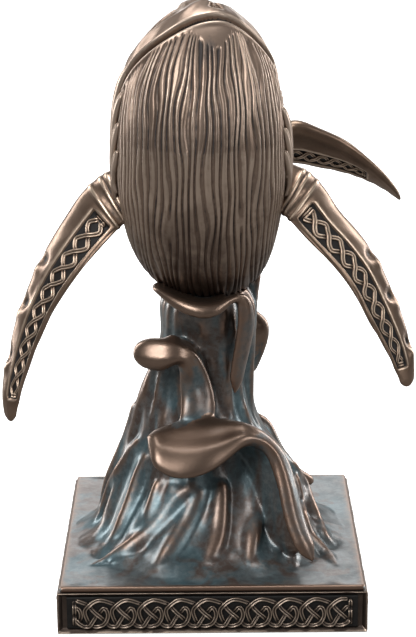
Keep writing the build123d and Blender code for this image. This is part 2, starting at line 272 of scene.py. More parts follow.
def swept(name: str, line: np.ndarray, radii: np.ndarray, ups: np.ndarray, flat: float = 1.0,
          ring: int = 12) -> bpy.types.Object:
    """A round or flattened bar along a line, closed at both ends.

    Args:
        name: The object's name.
        line: Points in mm.
        radii: Half-widths at them, in mm.
        ups: The way that is up at each.
        flat: Thickness as a share of the width.
        ring: Faces round the bar.

    Returns:
        The bar.
    """
    ahead = unit(np.gradient(line, axis=0))
    side = unit(np.cross(ahead, ups))
    up = np.cross(side, ahead)

    def place(u: np.ndarray, v: np.ndarray) -> np.ndarray:
        """Points round the bar, with both ends drawn in."""
        at = v * (len(line) - 1)
        low = np.minimum(at.astype(int), len(line) - 2)
        part = (at - low)[:, None]

        def read(table: np.ndarray) -> np.ndarray:
            """A table's values between its rows."""
            return table[low] * (1 - part) + table[low + 1] * part

        end = np.sqrt(np.clip(np.minimum(v, 1 - v) * (len(line) - 1) / 2, 0, 1))[:, None]
        radius = read(radii[:, None]) * end
        turn = (2 * np.pi * u)[:, None]
        return read(line) + radius * (np.cos(turn) * read(side) + flat * np.sin(turn) * read(up))

    return formed_grid(name, ring, len(line) - 1, place)


def relaxed(mesh: bpy.types.Mesh, points: np.ndarray, rounds: int) -> np.ndarray:
    """A mesh's points after each has moved half-way to its neighbours' mean, round after round."""
    count = len(points)
    ends = np.empty(2 * len(mesh.edges), np.int32)
    mesh.edges.foreach_get("vertices", ends)
    a, b = ends.reshape(-1, 2).T
    degree = np.maximum(np.bincount(ends, minlength=count), 1)[:, None]
    smooth = points.copy()
    for _ in range(rounds):
        total = np.stack([
            np.bincount(a, smooth[b, axis], count) + np.bincount(b, smooth[a, axis], count)
            for axis in range(3)
        ], axis=1)
        smooth = 0.5 * smooth + 0.5 * total / degree
    return smooth


def mark_relief(piece: bpy.types.Object, rounds: int, depth: float, keep: bool = False) -> None:
    """Writes how far each point stands above (to 1) or below (to 0) the smoothed surface.

    Args:
        piece: The mesh object.
        rounds: How often the surface is smoothed.
        depth: Height in mm that counts as full relief.
        keep: Whether a relief written before is blended in.
    """
    mesh = piece.data
    points = read_points(mesh)
    count = len(points)
    smooth = relaxed(mesh, points, rounds)
    normals = np.empty(3 * count, np.float32)
    mesh.vertex_normals.foreach_get("vector", normals)
    height = ((points - smooth) * normals.reshape(-1, 3)).sum(axis=1)
    relief = np.clip(0.5 + height / (2 * depth), 0, 1)
    if keep and mesh.attributes.get("relief"):
        before = np.empty(count, np.float32)
        mesh.attributes["relief"].data.foreach_get("value", before)
        relief = np.clip(relief + before - 0.5, 0, 1)
    write_share(mesh, "relief", relief)


# Knotwork


def meetings(first: np.ndarray, second: np.ndarray) -> tuple[np.ndarray, np.ndarray]:
    """Where two flat lines cross, as positions along each, counted in points."""
    run_a, run_b = np.diff(first, axis=0)[:, None], np.diff(second, axis=0)[None]
    gap = second[None, :-1] - first[:-1, None]
    cross = run_a[..., 0] * run_b[..., 1] - run_a[..., 1] * run_b[..., 0]
    cross = np.where(np.abs(cross) < 1e-12, 1e-12, cross)
    along_a = (gap[..., 0] * run_b[..., 1] - gap[..., 1] * run_b[..., 0]) / cross
    along_b = (gap[..., 0] * run_a[..., 1] - gap[..., 1] * run_a[..., 0]) / cross
    i, j = np.nonzero((along_a >= 0) & (along_a < 1) & (along_b >= 0) & (along_b < 1))
    return i + along_a[i, j], j + along_b[i, j]


@dataclass(frozen=True)
class Ribbon:
    """A cast band with two ridges and a groove between, as Celtic knotwork has.

    The tables go once round its section: shares of its width, of its height, and its relief.
    """

    width: float
    height: float
    dip: float
    across: tuple[float, ...] = (-0.5, -0.44, -0.3, -0.17, 0, 0.17, 0.3, 0.44, 0.5, 0.5, -0.5)
    rise: tuple[float, ...] = (-0.1, 0.7, 1, 0.75, 0.3, 0.75, 1, 0.7, -0.1, -1.6, -1.6)
    relief: tuple[float, ...] = (0.1, 0.6, 0.95, 0.7, 0.2, 0.7, 0.95, 0.6, 0.1, 0, 0)

    def weave(self, strands: list[np.ndarray]) -> list[np.ndarray]:
        """Heights along the strands that pass over and under in turn.

        Args:
            strands: Flat lines, evenly spaced, in mm.

        Returns:
            For each strand its height at each point, in mm.
        """
        stops: list[list[tuple[float, int]]] = [[] for _ in strands]
        pairs: list[tuple[int, float, int, float]] = []
        for a, first in enumerate(strands):
            for b in range(a, len(strands)):
                for x, y in zip(*meetings(first, strands[b])):
                    if a < b or y - x > 6:
                        stops[a].append((x, len(pairs)))
                        stops[b].append((y, len(pairs)))
                        pairs.append((a, x, b, y))
        turn = {}
        for strand, visits in enumerate(stops):
            for rank, (x, pair) in enumerate(sorted(visits)):
                turn[strand, pair, x] = 1 if rank % 2 else -1
        lead: list[int] = []
        for strand in range(len(strands)):
            votes = sum(
                -lead[a] * turn[a, pair, x] * turn[b, pair, y]
                for pair, (a, x, b, y) in enumerate(pairs) if a < b == strand
            )
            lead.append(-1 if votes < 0 else 1)
        heights = [np.zeros(len(line)) for line in strands]
        paces = [travelled(line)[-1] / (len(line) - 1) for line in strands]
        for pair, (a, x, b, y) in enumerate(pairs):
            over = lead[a] * turn[a, pair, x] * self.dip
            for strand, at, lift in ((a, x, over), (b, y, -over)):
                along = (np.arange(len(strands[strand])) - at) * paces[strand]
                heights[strand] += lift * bell(along, 0, 0.85 * self.width)
        return [np.clip(height, -self.dip, self.dip) for height in heights]

    def laid(self, name: str, line: np.ndarray, height: np.ndarray, lay: Place) -> bpy.types.Object:
        """The band along one flat line, laid on a surface.

        Args:
            name: The object's name.
            line: Flat points in the panel, in mm.
            height: The band's height at them.
            lay: Takes rows of across, up in the panel and a height, and gives points in space.

        Returns:
            The band as a closed mesh.
        """
        ahead = unit(np.gradient(line, axis=0))
        side = np.stack([-ahead[:, 1], ahead[:, 0]], axis=1)
        across, rise, relief = (np.array(table) for table in (self.across, self.rise, self.relief))
        turns = len(across)

        def place(u: np.ndarray, v: np.ndarray) -> np.ndarray:
            """Points round the band's section, drawn in at both ends."""
            corner = np.rint(u * turns).astype(int) % turns
            at = np.rint(v * (len(line) - 1)).astype(int)
            end = np.clip(np.minimum(at, len(line) - 1 - at) / 1.5, 0, 1)
            flat = line[at] + side[at] * (across[corner] * self.width * end)[:, None]
            up = height[at] + rise[corner] * self.height * end
            dark = 0.55 * np.clip(-height[at] / self.dip, 0, 1)
            return np.column_stack([lay(flat, up), relief[corner] * (1 - dark)])

        return formed_grid(name, turns, len(line) - 1, place)

    def net(self, name: str, strands: list[np.ndarray], lay: Place) -> list[bpy.types.Object]:
        """All the strands of a panel, woven and laid."""
        heights = self.weave(strands)
        return [
            self.laid(f"{name}_{k}", line, height, lay)
            for k, (line, height) in enumerate(zip(strands, heights))
        ]


def plait(length: float, height: float, pitch: float, strands: int,
          sharp: float = 0.0) -> list[np.ndarray]:
    """The strands of a plait along a panel.

    Args:
        length: The panel's length in mm.
        height: Height between the middle of the outer turns.
        pitch: Length in which a strand goes up and comes back.
        strands: How many there are.
        sharp: From 0, round turns, to 1, pointed ones.

    Returns:
        One flat line for each strand.
    """
    spacing = 0.3
    at = np.linspace(-length / 2, length / 2, int(length / spacing))
    lines = []
    for k in range(strands):
        phase = 2 * np.pi * (at / pitch + k / strands)
        wave = np.sin(phase)
        pointed = np.arcsin(np.clip(wave, -1, 1)) * 2 / np.pi
        line = np.column_stack([at, height / 2 * ((1 - sharp) * wave + sharp * pointed)])
        lines.append(smooth_run(line[::4], int(travelled(line)[-1] / spacing)))
    return lines


# Finishes


def paint(red: int, green: int, blue: int) -> Colour:
    """A colour as it is seen, 0 to 255, as the light values that Blender mixes."""
    return tuple(
        share / 12.92 if share <= 0.04045 else ((share + 0.055) / 1.055) ** 2.4
        for share in (red / 255, green / 255, blue / 255)
    )


class Nodes:
    """A node tree with short ways to add nodes and join them."""

    def __init__(self, tree: bpy.types.NodeTree) -> None:
        """Keeps the tree."""
        self.tree = tree

    def add(self, kind: str, settings: dict | None = None, **inputs: object) -> bpy.types.Node:
        """Adds a node.

        Args:
            kind: The node's type, without the words ShaderNode.
            settings: Its own settings, such as an operation.
            inputs: Values or output sockets for its inputs, with _ for a space in their names.

        Returns:
            The node.
        """
        made = self.tree.nodes.new("ShaderNode" + kind)
        for key, value in (settings or {}).items():
            setattr(made, key, value)
        for key, value in inputs.items():
            self.feed(made.inputs[key.replace("_", " ")], value)
        return made

    def feed(self, socket: bpy.types.NodeSocket, value: object) -> None:
        """Joins an output to a socket, or sets the socket's value."""
        if isinstance(value, bpy.types.NodeSocket):
            self.tree.links.new(value, socket)
        elif isinstance(value, tuple) and socket.type == "RGBA":
            socket.default_value = (*value, 1)
        else:
            socket.default_value = value

    def math(self, operation: str, *values: object) -> bpy.types.NodeSocket:
        """The result of a Math node."""
        made = self.add("Math", {"operation": operation})
        for socket, value in zip(made.inputs, values):
            self.feed(socket, value)
        return made.outputs[0]

    def between(self, value: object, low: float, high: float, start: float = 0,
                stop: float = 1) -> bpy.types.NodeSocket:
        """A smooth step of a value between two others, from start to stop."""
        made = self.add("MapRange", {"interpolation_type": "SMOOTHSTEP"})
        for socket, given in zip(made.inputs, (value, low, high, start, stop)):
            self.feed(socket, given)
        return made.outputs[0]

    def mix(self, share: object, first: object, second: object) -> bpy.types.NodeSocket:
        """A mix of two colours."""
        made = self.add("Mix", {"data_type": "RGBA"})
        for index, given in ((0, share), (6, first), (7, second)):
            self.feed(made.inputs[index], given)
        return made.outputs[2]

    def noise(self, place: object, scale: object, detail: float = 3, rough: float = 0.55,
              twist: float = 0) -> bpy.types.NodeSocket:
        """A noise texture's value."""
        made = self.add("TexNoise", Vector=place, Scale=scale, Detail=detail, Roughness=rough,
                        Distortion=twist)
        return made.outputs[0]


class Effect(Enum):
    """The shader effects that several finishes share, each a node group built once."""

    WORN_RELIEF = "worn_relief"
    PATINA_CLOUD = "patina_cloud"
    CAST_GRAIN = "cast_grain"

    def group(self) -> bpy.types.NodeTree:
        """The effect's node group, built when first asked for."""
        made = bpy.data.node_groups.get(self.value)
        if made is None:
            made = bpy.data.node_groups.new(self.value, "ShaderNodeTree")
            {
                Effect.WORN_RELIEF: worn_relief,
                Effect.PATINA_CLOUD: patina_cloud,
                Effect.CAST_GRAIN: cast_grain,
            }[self](made)
        return made


def group_ends(tree: bpy.types.NodeTree, ins: dict[str, float], outs: dict[str, str]) -> tuple:
    """Gives a node group its sockets.

    Args:
        tree: The group.
        ins: Names and start values of its inputs.
        outs: Names and kinds of its outputs.

    Returns:
        The short node writer, the input node and the output node.
    """
    for name, value in ins.items():
        socket = tree.interface.new_socket(name, in_out="INPUT", socket_type="NodeSocketFloat")
        socket.default_value = value
    for name, kind in outs.items():
        tree.interface.new_socket(name, in_out="OUTPUT", socket_type="NodeSocket" + kind)
    nodes = Nodes(tree)
    return nodes, tree.nodes.new("NodeGroupInput"), tree.nodes.new("NodeGroupOutput")


def worn_relief(tree: bpy.types.NodeTree) -> None:
    """Recesses that hold dark patina and crests that are rubbed bright, broken up by noise."""
    nodes, given, result = group_ends(
        tree, {"Relief": 0.5, "Recess At": 0.4, "Crest At": 0.6, "Soft": 0.2, "Breakup": 0.3, "Scale": 400},
        {"Recess": "Float", "Crest": "Float"},
    )
    place = nodes.add("TexCoord").outputs["Object"]
    drift = nodes.math("SUBTRACT", nodes.noise(place, given.outputs["Scale"], 4), 0.5)
    level = nodes.math("MULTIPLY_ADD", drift, given.outputs["Breakup"], given.outputs["Relief"])
    soft = given.outputs["Soft"]
    recess_at, crest_at = given.outputs["Recess At"], given.outputs["Crest At"]
    recess = nodes.between(level, recess_at, nodes.math("SUBTRACT", recess_at, soft))
    crest = nodes.between(level, crest_at, nodes.math("ADD", crest_at, soft))
    nodes.feed(result.inputs["Recess"], recess)
    nodes.feed(result.inputs["Crest"], crest)


def patina_cloud(tree: bpy.types.NodeTree) -> None:
    """Drifting clouds of patina, wide ones and fine ones."""
    nodes, given, result = group_ends(
        tree, {"Scale": 60, "Fine Scale": 500, "Low": 0.4, "High": 0.62}, {"Wide": "Float", "Fine": "Float"},
    )
    place = nodes.add("TexCoord").outputs["Object"]
    low, high = given.outputs["Low"], given.outputs["High"]
    wide = nodes.between(nodes.noise(place, given.outputs["Scale"], 5, 0.6, 0.4), low, high)
    fine = nodes.between(nodes.noise(place, given.outputs["Fine Scale"], 4, 0.65), low, high)
    nodes.feed(result.inputs["Wide"], wide)
    nodes.feed(result.inputs["Fine"], fine)


def cast_grain(tree: bpy.types.NodeTree) -> None:
    """The fine, slightly pitted skin of cold-cast bronze."""
    nodes, given, result = group_ends(
        tree, {"Scale": 1500, "Strength": 0.2}, {"Normal": "Vector", "Speck": "Float"},
    )
    place = nodes.add("TexCoord").outputs["Object"]
    grain = nodes.noise(place, given.outputs["Scale"], 4, 0.6)
    swell = nodes.noise(place, 260, 2)
    height = nodes.math("MULTIPLY_ADD", swell, 2.5, grain)
    bump = nodes.add("Bump", Strength=given.outputs["Strength"], Distance=0.06 * MM, Height=height)
    nodes.feed(result.inputs["Normal"], bump.outputs[0])
    nodes.feed(result.inputs["Speck"], grain)


@dataclass(frozen=True)
class Finish:
    """A cast finish: a base colour, dark patina in its recesses and a rubbed colour on its crests."""

    name: str
    base: Colour
    deep: Colour
    bright: Colour
    tint: Colour
    tint_share: float = 0.3
    recess_at: float = 0.45
    crest_at: float = 0.58
    soft: float = 0.18
    breakup: float = 0.25
    breakup_scale: float = 500
    cloud_scale: float = 70
    rough: float = 0.36
    rough_deep: float = 0.6
    metal: float = 0.9
    metal_deep: float = 0.35
    grain: float = 0.25
    coat: float = 0.0

    def effect(self, nodes: Nodes, kind: Effect, **inputs: object) -> bpy.types.Node:
        """Places a shared effect in the material with this finish's values."""
        return nodes.add("Group", {"node_tree": kind.group()}, **inputs)

    def material(self) -> bpy.types.Material:
        """The finish's material, built when first asked for."""
        made = bpy.data.materials.get(self.name)
        if made:
            return made
        made = bpy.data.materials.new(self.name)
        made.use_nodes = True
        nodes = Nodes(made.node_tree)
        shader = made.node_tree.nodes["Principled BSDF"]
        relief = nodes.add("Attribute", {"attribute_name": "relief"}).outputs["Fac"]
        worn = self.effect(
            nodes, Effect.WORN_RELIEF, Relief=relief, Recess_At=self.recess_at, Crest_At=self.crest_at,
            Soft=self.soft, Breakup=self.breakup, Scale=self.breakup_scale,
        )
        cloud = self.effect(nodes, Effect.PATINA_CLOUD, Scale=self.cloud_scale)
        grain = self.effect(nodes, Effect.CAST_GRAIN, Strength=self.grain)
        self.dress(nodes, shader, worn, cloud, grain)
        shader.inputs["Coat Weight"].default_value = self.coat
        shader.inputs["Coat Roughness"].default_value = 0.16
        nodes.feed(shader.inputs["Normal"], grain.outputs["Normal"])
        return made

    def dress(self, nodes: Nodes, shader: bpy.types.Node, worn: bpy.types.Node, cloud: bpy.types.Node,
              grain: bpy.types.Node) -> None:
        """Joins the effects' masks to the shader's colour, metal and roughness."""
        recess, crest = worn.outputs["Recess"], worn.outputs["Crest"]
        tinted = nodes.math("MULTIPLY", cloud.outputs["Wide"], self.tint_share)
        colour = nodes.mix(tinted, self.base, self.tint)
        colour = nodes.mix(crest, colour, self.bright)
        colour = nodes.mix(recess, colour, self.deep)
        nodes.feed(shader.inputs["Base Color"], colour)
        nodes.feed(shader.inputs["Metallic"], nodes.between(recess, 0, 1, self.metal, self.metal_deep))
        speck = nodes.math("MULTIPLY_ADD", grain.outputs["Speck"], 0.16, -0.08)
        rough = nodes.between(recess, 0, 1, self.rough, self.rough_deep)
        nodes.feed(shader.inputs["Roughness"], nodes.math("ADD", rough, speck))


@dataclass(frozen=True)
class BellyShadeFinish(Finish):
    """The whale's finish, whose brown is made deeper low on the body as painted shade."""

    # The deeper brown of painted shade low on the body, and the heights between which it fades in.
    belly_shade: Colour = (0.12, 0.07, 0.05)
    belly_shade_low: float = 0.1
    belly_shade_high: float = 0.142

    def dress(self, nodes: Nodes, shader: bpy.types.Node, worn: bpy.types.Node, cloud: bpy.types.Node,
              grain: bpy.types.Node) -> None:
        """Joins the masks, with painted shade of deeper brown laid under the recesses low on the body."""
        super().dress(nodes, shader, worn, cloud, grain)
        place = nodes.add("SeparateXYZ", Vector=nodes.add("TexCoord").outputs["Object"])
        # Painted shade: the lower on the body, the more the colour is mixed towards the deeper brown.
        low = nodes.math("MULTIPLY_ADD", cloud.outputs["Wide"], 0.014, place.outputs["Z"])
        under = nodes.between(low, self.belly_shade_high, self.belly_shade_low, 0, 0.85)
        worn_colour = shader.inputs["Base Color"].links[0].from_socket
        nodes.feed(shader.inputs["Base Color"], nodes.mix(under, worn_colour, self.belly_shade))


@dataclass(frozen=True)
class WaterFinish(Finish):
    """The blue-green patina of the water, with umber in its troughs and bronze on its ridges.

    Points with a high "bronze" share take the bronze of the crests instead. The highest ridges
    are mixed towards a pale blue, as a painted highlight.
    """

    # A pale blue. It is spread faintly at random through the patina, and it is laid on the highest ridges as
    # a painted highlight.
    pale: Colour = (0.3, 0.45, 0.5)
    bronze: Colour = (0.3, 0.2, 0.14)

    def dress(self, nodes: Nodes, shader: bpy.types.Node, worn: bpy.types.Node, cloud: bpy.types.Node,
              grain: bpy.types.Node) -> None:
        """Joins the masks, with bronze where rubbed or part of a crest, and a pale painted highlight."""
        recess, crest = worn.outputs["Recess"], worn.outputs["Crest"]
        share = nodes.add("Attribute", {"attribute_name": "bronze"}).outputs["Fac"]
        edge = nodes.math("MULTIPLY_ADD", cloud.outputs["Fine"], 0.3, share)
        rubbed = nodes.between(edge, 0.45, 0.85)
        place = nodes.add("TexCoord").outputs["Object"]
        stretched = nodes.add("Mapping", Vector=place, Scale=(1, 1, 0.22)).outputs[0]
        streak = nodes.between(nodes.noise(stretched, 110, 3, 0.5, 0.6), 0.42, 0.6)
        umber = nodes.math("MAXIMUM", nodes.math("MULTIPLY", cloud.outputs["Wide"], 0.6), streak)
        patina = nodes.mix(umber, self.base, self.tint)
        patina = nodes.mix(nodes.math("MULTIPLY", cloud.outputs["Fine"], 0.1), patina, self.pale)
        patina = nodes.mix(crest, patina, self.bright)
        colour = nodes.mix(rubbed, patina, self.bronze)
        relief = nodes.add("Attribute", {"attribute_name": "relief"}).outputs["Fac"]
        # Painted highlight: the highest ridges are mixed towards the pale blue.
        colour = nodes.mix(nodes.between(relief, 0.9, 1, 0, 0.7), colour, self.pale)
        colour = nodes.mix(recess, colour, self.deep)
        nodes.feed(shader.inputs["Base Color"], colour)
        metal = nodes.between(nodes.math("MAXIMUM", rubbed, crest), 0, 1, 0.45, self.metal)
        nodes.feed(shader.inputs["Metallic"], metal)
        speck = nodes.math("MULTIPLY_ADD", grain.outputs["Speck"], 0.16, -0.08)
        rough = nodes.between(recess, 0, 1, self.rough, self.rough_deep)
        nodes.feed(shader.inputs["Roughness"], nodes.math("ADD", rough, speck))


@dataclass(frozen=True)
class FeltFinish:
    """Pressed black-brown felt with short, crossing fibres."""

    name: str = "felt"
    dark: Colour = paint(38, 33, 30)
    pale: Colour = paint(74, 66, 60)

    def material(self) -> bpy.types.Material:
        """The felt's material."""
        made = bpy.data.materials.new(self.name)
        made.use_nodes = True
        nodes = Nodes(made.node_tree)
        shader = made.node_tree.nodes["Principled BSDF"]
        place = nodes.add("TexCoord").outputs["Object"]
        fibres = nodes.noise(place, 2600, 5, 0.75, 1.5)
        clumps = nodes.noise(place, 320, 3)
        tone = nodes.between(nodes.math("MULTIPLY_ADD", clumps, 0.5, fibres), 0.5, 1.0)
        nodes.feed(shader.inputs["Base Color"], nodes.mix(tone, self.dark, self.pale))
        shader.inputs["Roughness"].default_value = 0.95
        shader.inputs["Sheen Weight"].default_value = 0.3
        bump = nodes.add("Bump", Strength=0.6, Distance=0.15 * MM, Height=fibres)
        nodes.feed(shader.inputs["Normal"], bump.outputs[0])
        return made


@dataclass(frozen=True)
class SteelFinish:
    """Drawn steel rod, with fine lines and a little oil stain."""

    name: str = "drawn_steel"
    pale: Colour = paint(196, 196, 192)
    stained: Colour = paint(140, 128, 112)

    def material(self) -> bpy.types.Material:
        """The steel's material."""
        made = bpy.data.materials.new(self.name)
        made.use_nodes = True
        nodes = Nodes(made.node_tree)
        shader = made.node_tree.nodes["Principled BSDF"]
        place = nodes.add("TexCoord").outputs["Object"]
        lines = nodes.noise(place, 1800, 5, 0.7)
        stain = nodes.between(nodes.noise(place, 200, 3), 0.5, 0.7)
        nodes.feed(shader.inputs["Base Color"], nodes.mix(stain, self.pale, self.stained))
        shader.inputs["Metallic"].default_value = 1
        nodes.feed(shader.inputs["Roughness"], nodes.between(lines, 0, 1, 0.22, 0.42))
        return made


# The whale's finish; its deeper brown low on the body is painted shade.
whale_bronze = BellyShadeFinish(
    "whale_bronze", base=paint(138, 120, 107), deep=paint(50, 44, 42), bright=paint(176, 158, 143),
    tint=paint(112, 94, 81), tint_share=0.45, rough=0.38, belly_shade=paint(58, 42, 34),
)
fin_bronze = Finish(
    "fin_bronze", base=paint(126, 106, 91), deep=paint(24, 20, 19), bright=paint(186, 166, 147),
    tint=paint(94, 76, 63), tint_share=0.55, rough=0.33,
)
plinth_bronze = Finish(
    "plinth_bronze", base=paint(86, 75, 68), deep=paint(26, 23, 22), bright=paint(158, 142, 128),
    tint=paint(66, 56, 50), tint_share=0.6, rough=0.36, crest_at=0.62,
)
frieze_bronze = Finish(
    "frieze_bronze", base=paint(98, 86, 78), deep=paint(20, 18, 17), bright=paint(176, 159, 143),
    tint=paint(76, 66, 60), tint_share=0.5, rough=0.36, recess_at=0.42, crest_at=0.66,
)
# The water's pale is also its painted highlight on the highest ridges.
water_patina = WaterFinish(
    "water_patina", base=paint(66, 86, 92), deep=paint(30, 27, 27), bright=paint(120, 98, 84),
    tint=paint(74, 62, 56), pale=paint(150, 176, 182), bronze=paint(118, 99, 86), tint_share=0.5,
    rough=0.34, rough_deep=0.45, coat=0.2, cloud_scale=26, recess_at=0.38, crest_at=0.48, soft=0.24,
)
felt = FeltFinish()
steel = SteelFinish()


def hand_over(piece: bpy.types.Object, material: bpy.types.Material, slot: str, *nodes: str) -> None:
    """Dresses a piece, makes it ride on the figurine and lets it stand for its CAD nodes.

    Args:
        piece: The finished mesh object.
        material: What it is finished with.
        slot: A material slot's name; not used.
        nodes: CAD nodes that it stands for.
    """
    piece.data.materials.clear()
    piece.data.materials.append(material)
    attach(piece, "root")
    if nodes:
        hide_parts(*nodes)
    faces = sum(len(face.vertices) - 2 for face in piece.data.polygons)
    log.info("%s: %d triangles, for %s", piece.name, faces, ", ".join(nodes) or "itself")


# Camera and studio


@dataclass(frozen=True)
class Studio:
    """The camera where the photographer stood, a pale floor and plain soft lamps."""

    focal_pixels: float = 2006.14
    picture_height: float = 637
    picture_width: float = 416
    sensor: float = 36
    eye: Spot = (-0.00048, -0.57367, 0.25641)
    pitch: float = math.radians(16.925)
    roll: float = math.radians(-0.4284)
    yaw: float = math.radians(-0.0167)
    floor_size: float = 6
    floor_grey: Colour = (0.22, 0.21, 0.2)
    floor_glow: float = 0.82
    card_whites: tuple[Colour, Colour] = ((0.86, 0.86, 0.86), (0.9, 0.9, 0.9))
    white: tuple[float, float, float, float] = (1, 1, 1, 1)
    world_light: float = 0.2
    target: Spot = (0, 0, 0.09)
    lamps: tuple[tuple[str, Spot, tuple[float, float], float], ...] = (
        ("key", (-0.45, -0.75, 0.75), (0.42, 0.5), 8),
        ("fill", (0.8, -0.5, 0.45), (0.25, 0.6), 2.6),
        ("rim_left", (-0.7, 0.45, 0.35), (0.2, 0.7), 5),
        ("rim_right", (0.7, 0.5, 0.35), (0.2, 0.7), 5),
        ("top", (0, 0.1, 1.0), (0.5, 0.5), 6),
        ("back", (0, 1.25, 0.5), (1.3, 0.4), 4.5),
    )

    def axes(self) -> tuple[Vector, Vector, Vector]:
        """The camera's right, up and forward."""
        ahead = Vector((
            math.sin(self.yaw) * math.cos(self.pitch), math.cos(self.yaw) * math.cos(self.pitch),
            -math.sin(self.pitch),
        ))
        level = Vector((math.cos(self.yaw), -math.sin(self.yaw), 0))
        upright = level.cross(ahead)
        right = level * math.cos(self.roll) + upright * math.sin(self.roll)
        return right, upright * math.cos(self.roll) - level * math.sin(self.roll), ahead

    def ray(self, across: float, down: float) -> Vector:
        """The direction in which a pixel of the photograph looks."""
        right, up, ahead = self.axes()
        side = (across - self.picture_width / 2) / self.focal_pixels
        rise = (self.picture_height / 2 - down) / self.focal_pixels
        return (ahead + right * side + up * rise).normalized()

    def at_depth(self, across: float, down: float, depth: float) -> np.ndarray:
        """The point, in mm, where a pixel's sight line reaches a depth behind the middle plane."""
        way = self.ray(across, down)
        far = (depth * MM - self.eye[1]) / way.y
        return np.array(Vector(self.eye) + way * far) / MM

    def set_camera(self) -> None:
        """Stands the camera in the photograph's place."""
        data = bpy.data.cameras.new("camera")
        data.sensor_width = self.sensor
        data.lens = self.focal_pixels / self.picture_height * data.sensor_width
        camera = bpy.data.objects.new("camera", data)
        right, up, ahead = self.axes()
        turn = Matrix((right, up, -ahead)).transposed()
        camera.matrix_world = Matrix.Translation(self.eye) @ turn.to_4x4()
        bpy.context.scene.collection.objects.link(camera)
        bpy.context.scene.camera = camera

    def set_floor(self) -> None:
        """Lays the pale floor, which keeps the figurine's shadow."""
        made = bmesh.new()
        bmesh.ops.create_grid(made, x_segments=2, y_segments=2, size=self.floor_size)
        floor = finished("floor", made, smooth=False)
        card = bpy.data.materials.new("white_card")
        card.use_nodes = True
        nodes = Nodes(card.node_tree)
        shader = card.node_tree.nodes["Principled BSDF"]
        place = nodes.add("TexCoord").outputs["Object"]
        fleck = nodes.noise(place, 40, 2)
        card_white = nodes.mix(fleck, *self.card_whites)
        shader.inputs["Roughness"].default_value = 0.6
        shader.inputs["Specular IOR Level"].default_value = 0.2
        looked = nodes.add("LightPath").outputs["Is Camera Ray"]
        nodes.feed(shader.inputs["Base Color"], nodes.mix(looked, self.floor_grey, card_white))
        shader.inputs["Emission Color"].default_value = self.white
        glow = nodes.math("MULTIPLY", looked, self.floor_glow)
        nodes.feed(shader.inputs["Emission Strength"], glow)
        floor.data.materials.append(card)

    def set_lamp(self, name: str, place: Spot, size: tuple[float, float], power: float) -> None:
        """Hangs one soft box that points at the figurine's middle.

        Args:
            name: The lamp's name.
            place: Where it hangs.
            size: Its width and height.
            power: Its power in watts.
        """
        data = bpy.data.lights.new(name, "AREA")
        data.shape = "RECTANGLE"
        data.size, data.size_y = size
        data.energy = power
        lamp = bpy.data.objects.new(name, data)
        lamp.location = place
        lamp.rotation_euler = (Vector(self.target) - Vector(place)).to_track_quat("-Z", "Y").to_euler()
        bpy.context.scene.collection.objects.link(lamp)

    def set_light(self) -> None:
        """Hangs the soft boxes and sets the world's plain white."""
        for name, place, size, power in self.lamps:
            self.set_lamp(name, place, size, power)
        world = bpy.data.worlds.new("studio")
        world.use_nodes = True
        nodes = Nodes(world.node_tree)
        back = world.node_tree.nodes["Background"]
        seen = nodes.add("LightPath").outputs["Is Camera Ray"]
        nodes.feed(back.inputs["Strength"], nodes.between(seen, 0, 1, self.world_light, 1))
        back.inputs["Color"].default_value = self.white
        bpy.context.scene.world = world
        bpy.context.scene.view_settings.view_transform = "Standard"

    def build(self) -> None:
        """Sets up the camera, the floor and the light."""
        self.set_camera()
        self.set_floor()
        self.set_light()


# Plinth, friezes and felt


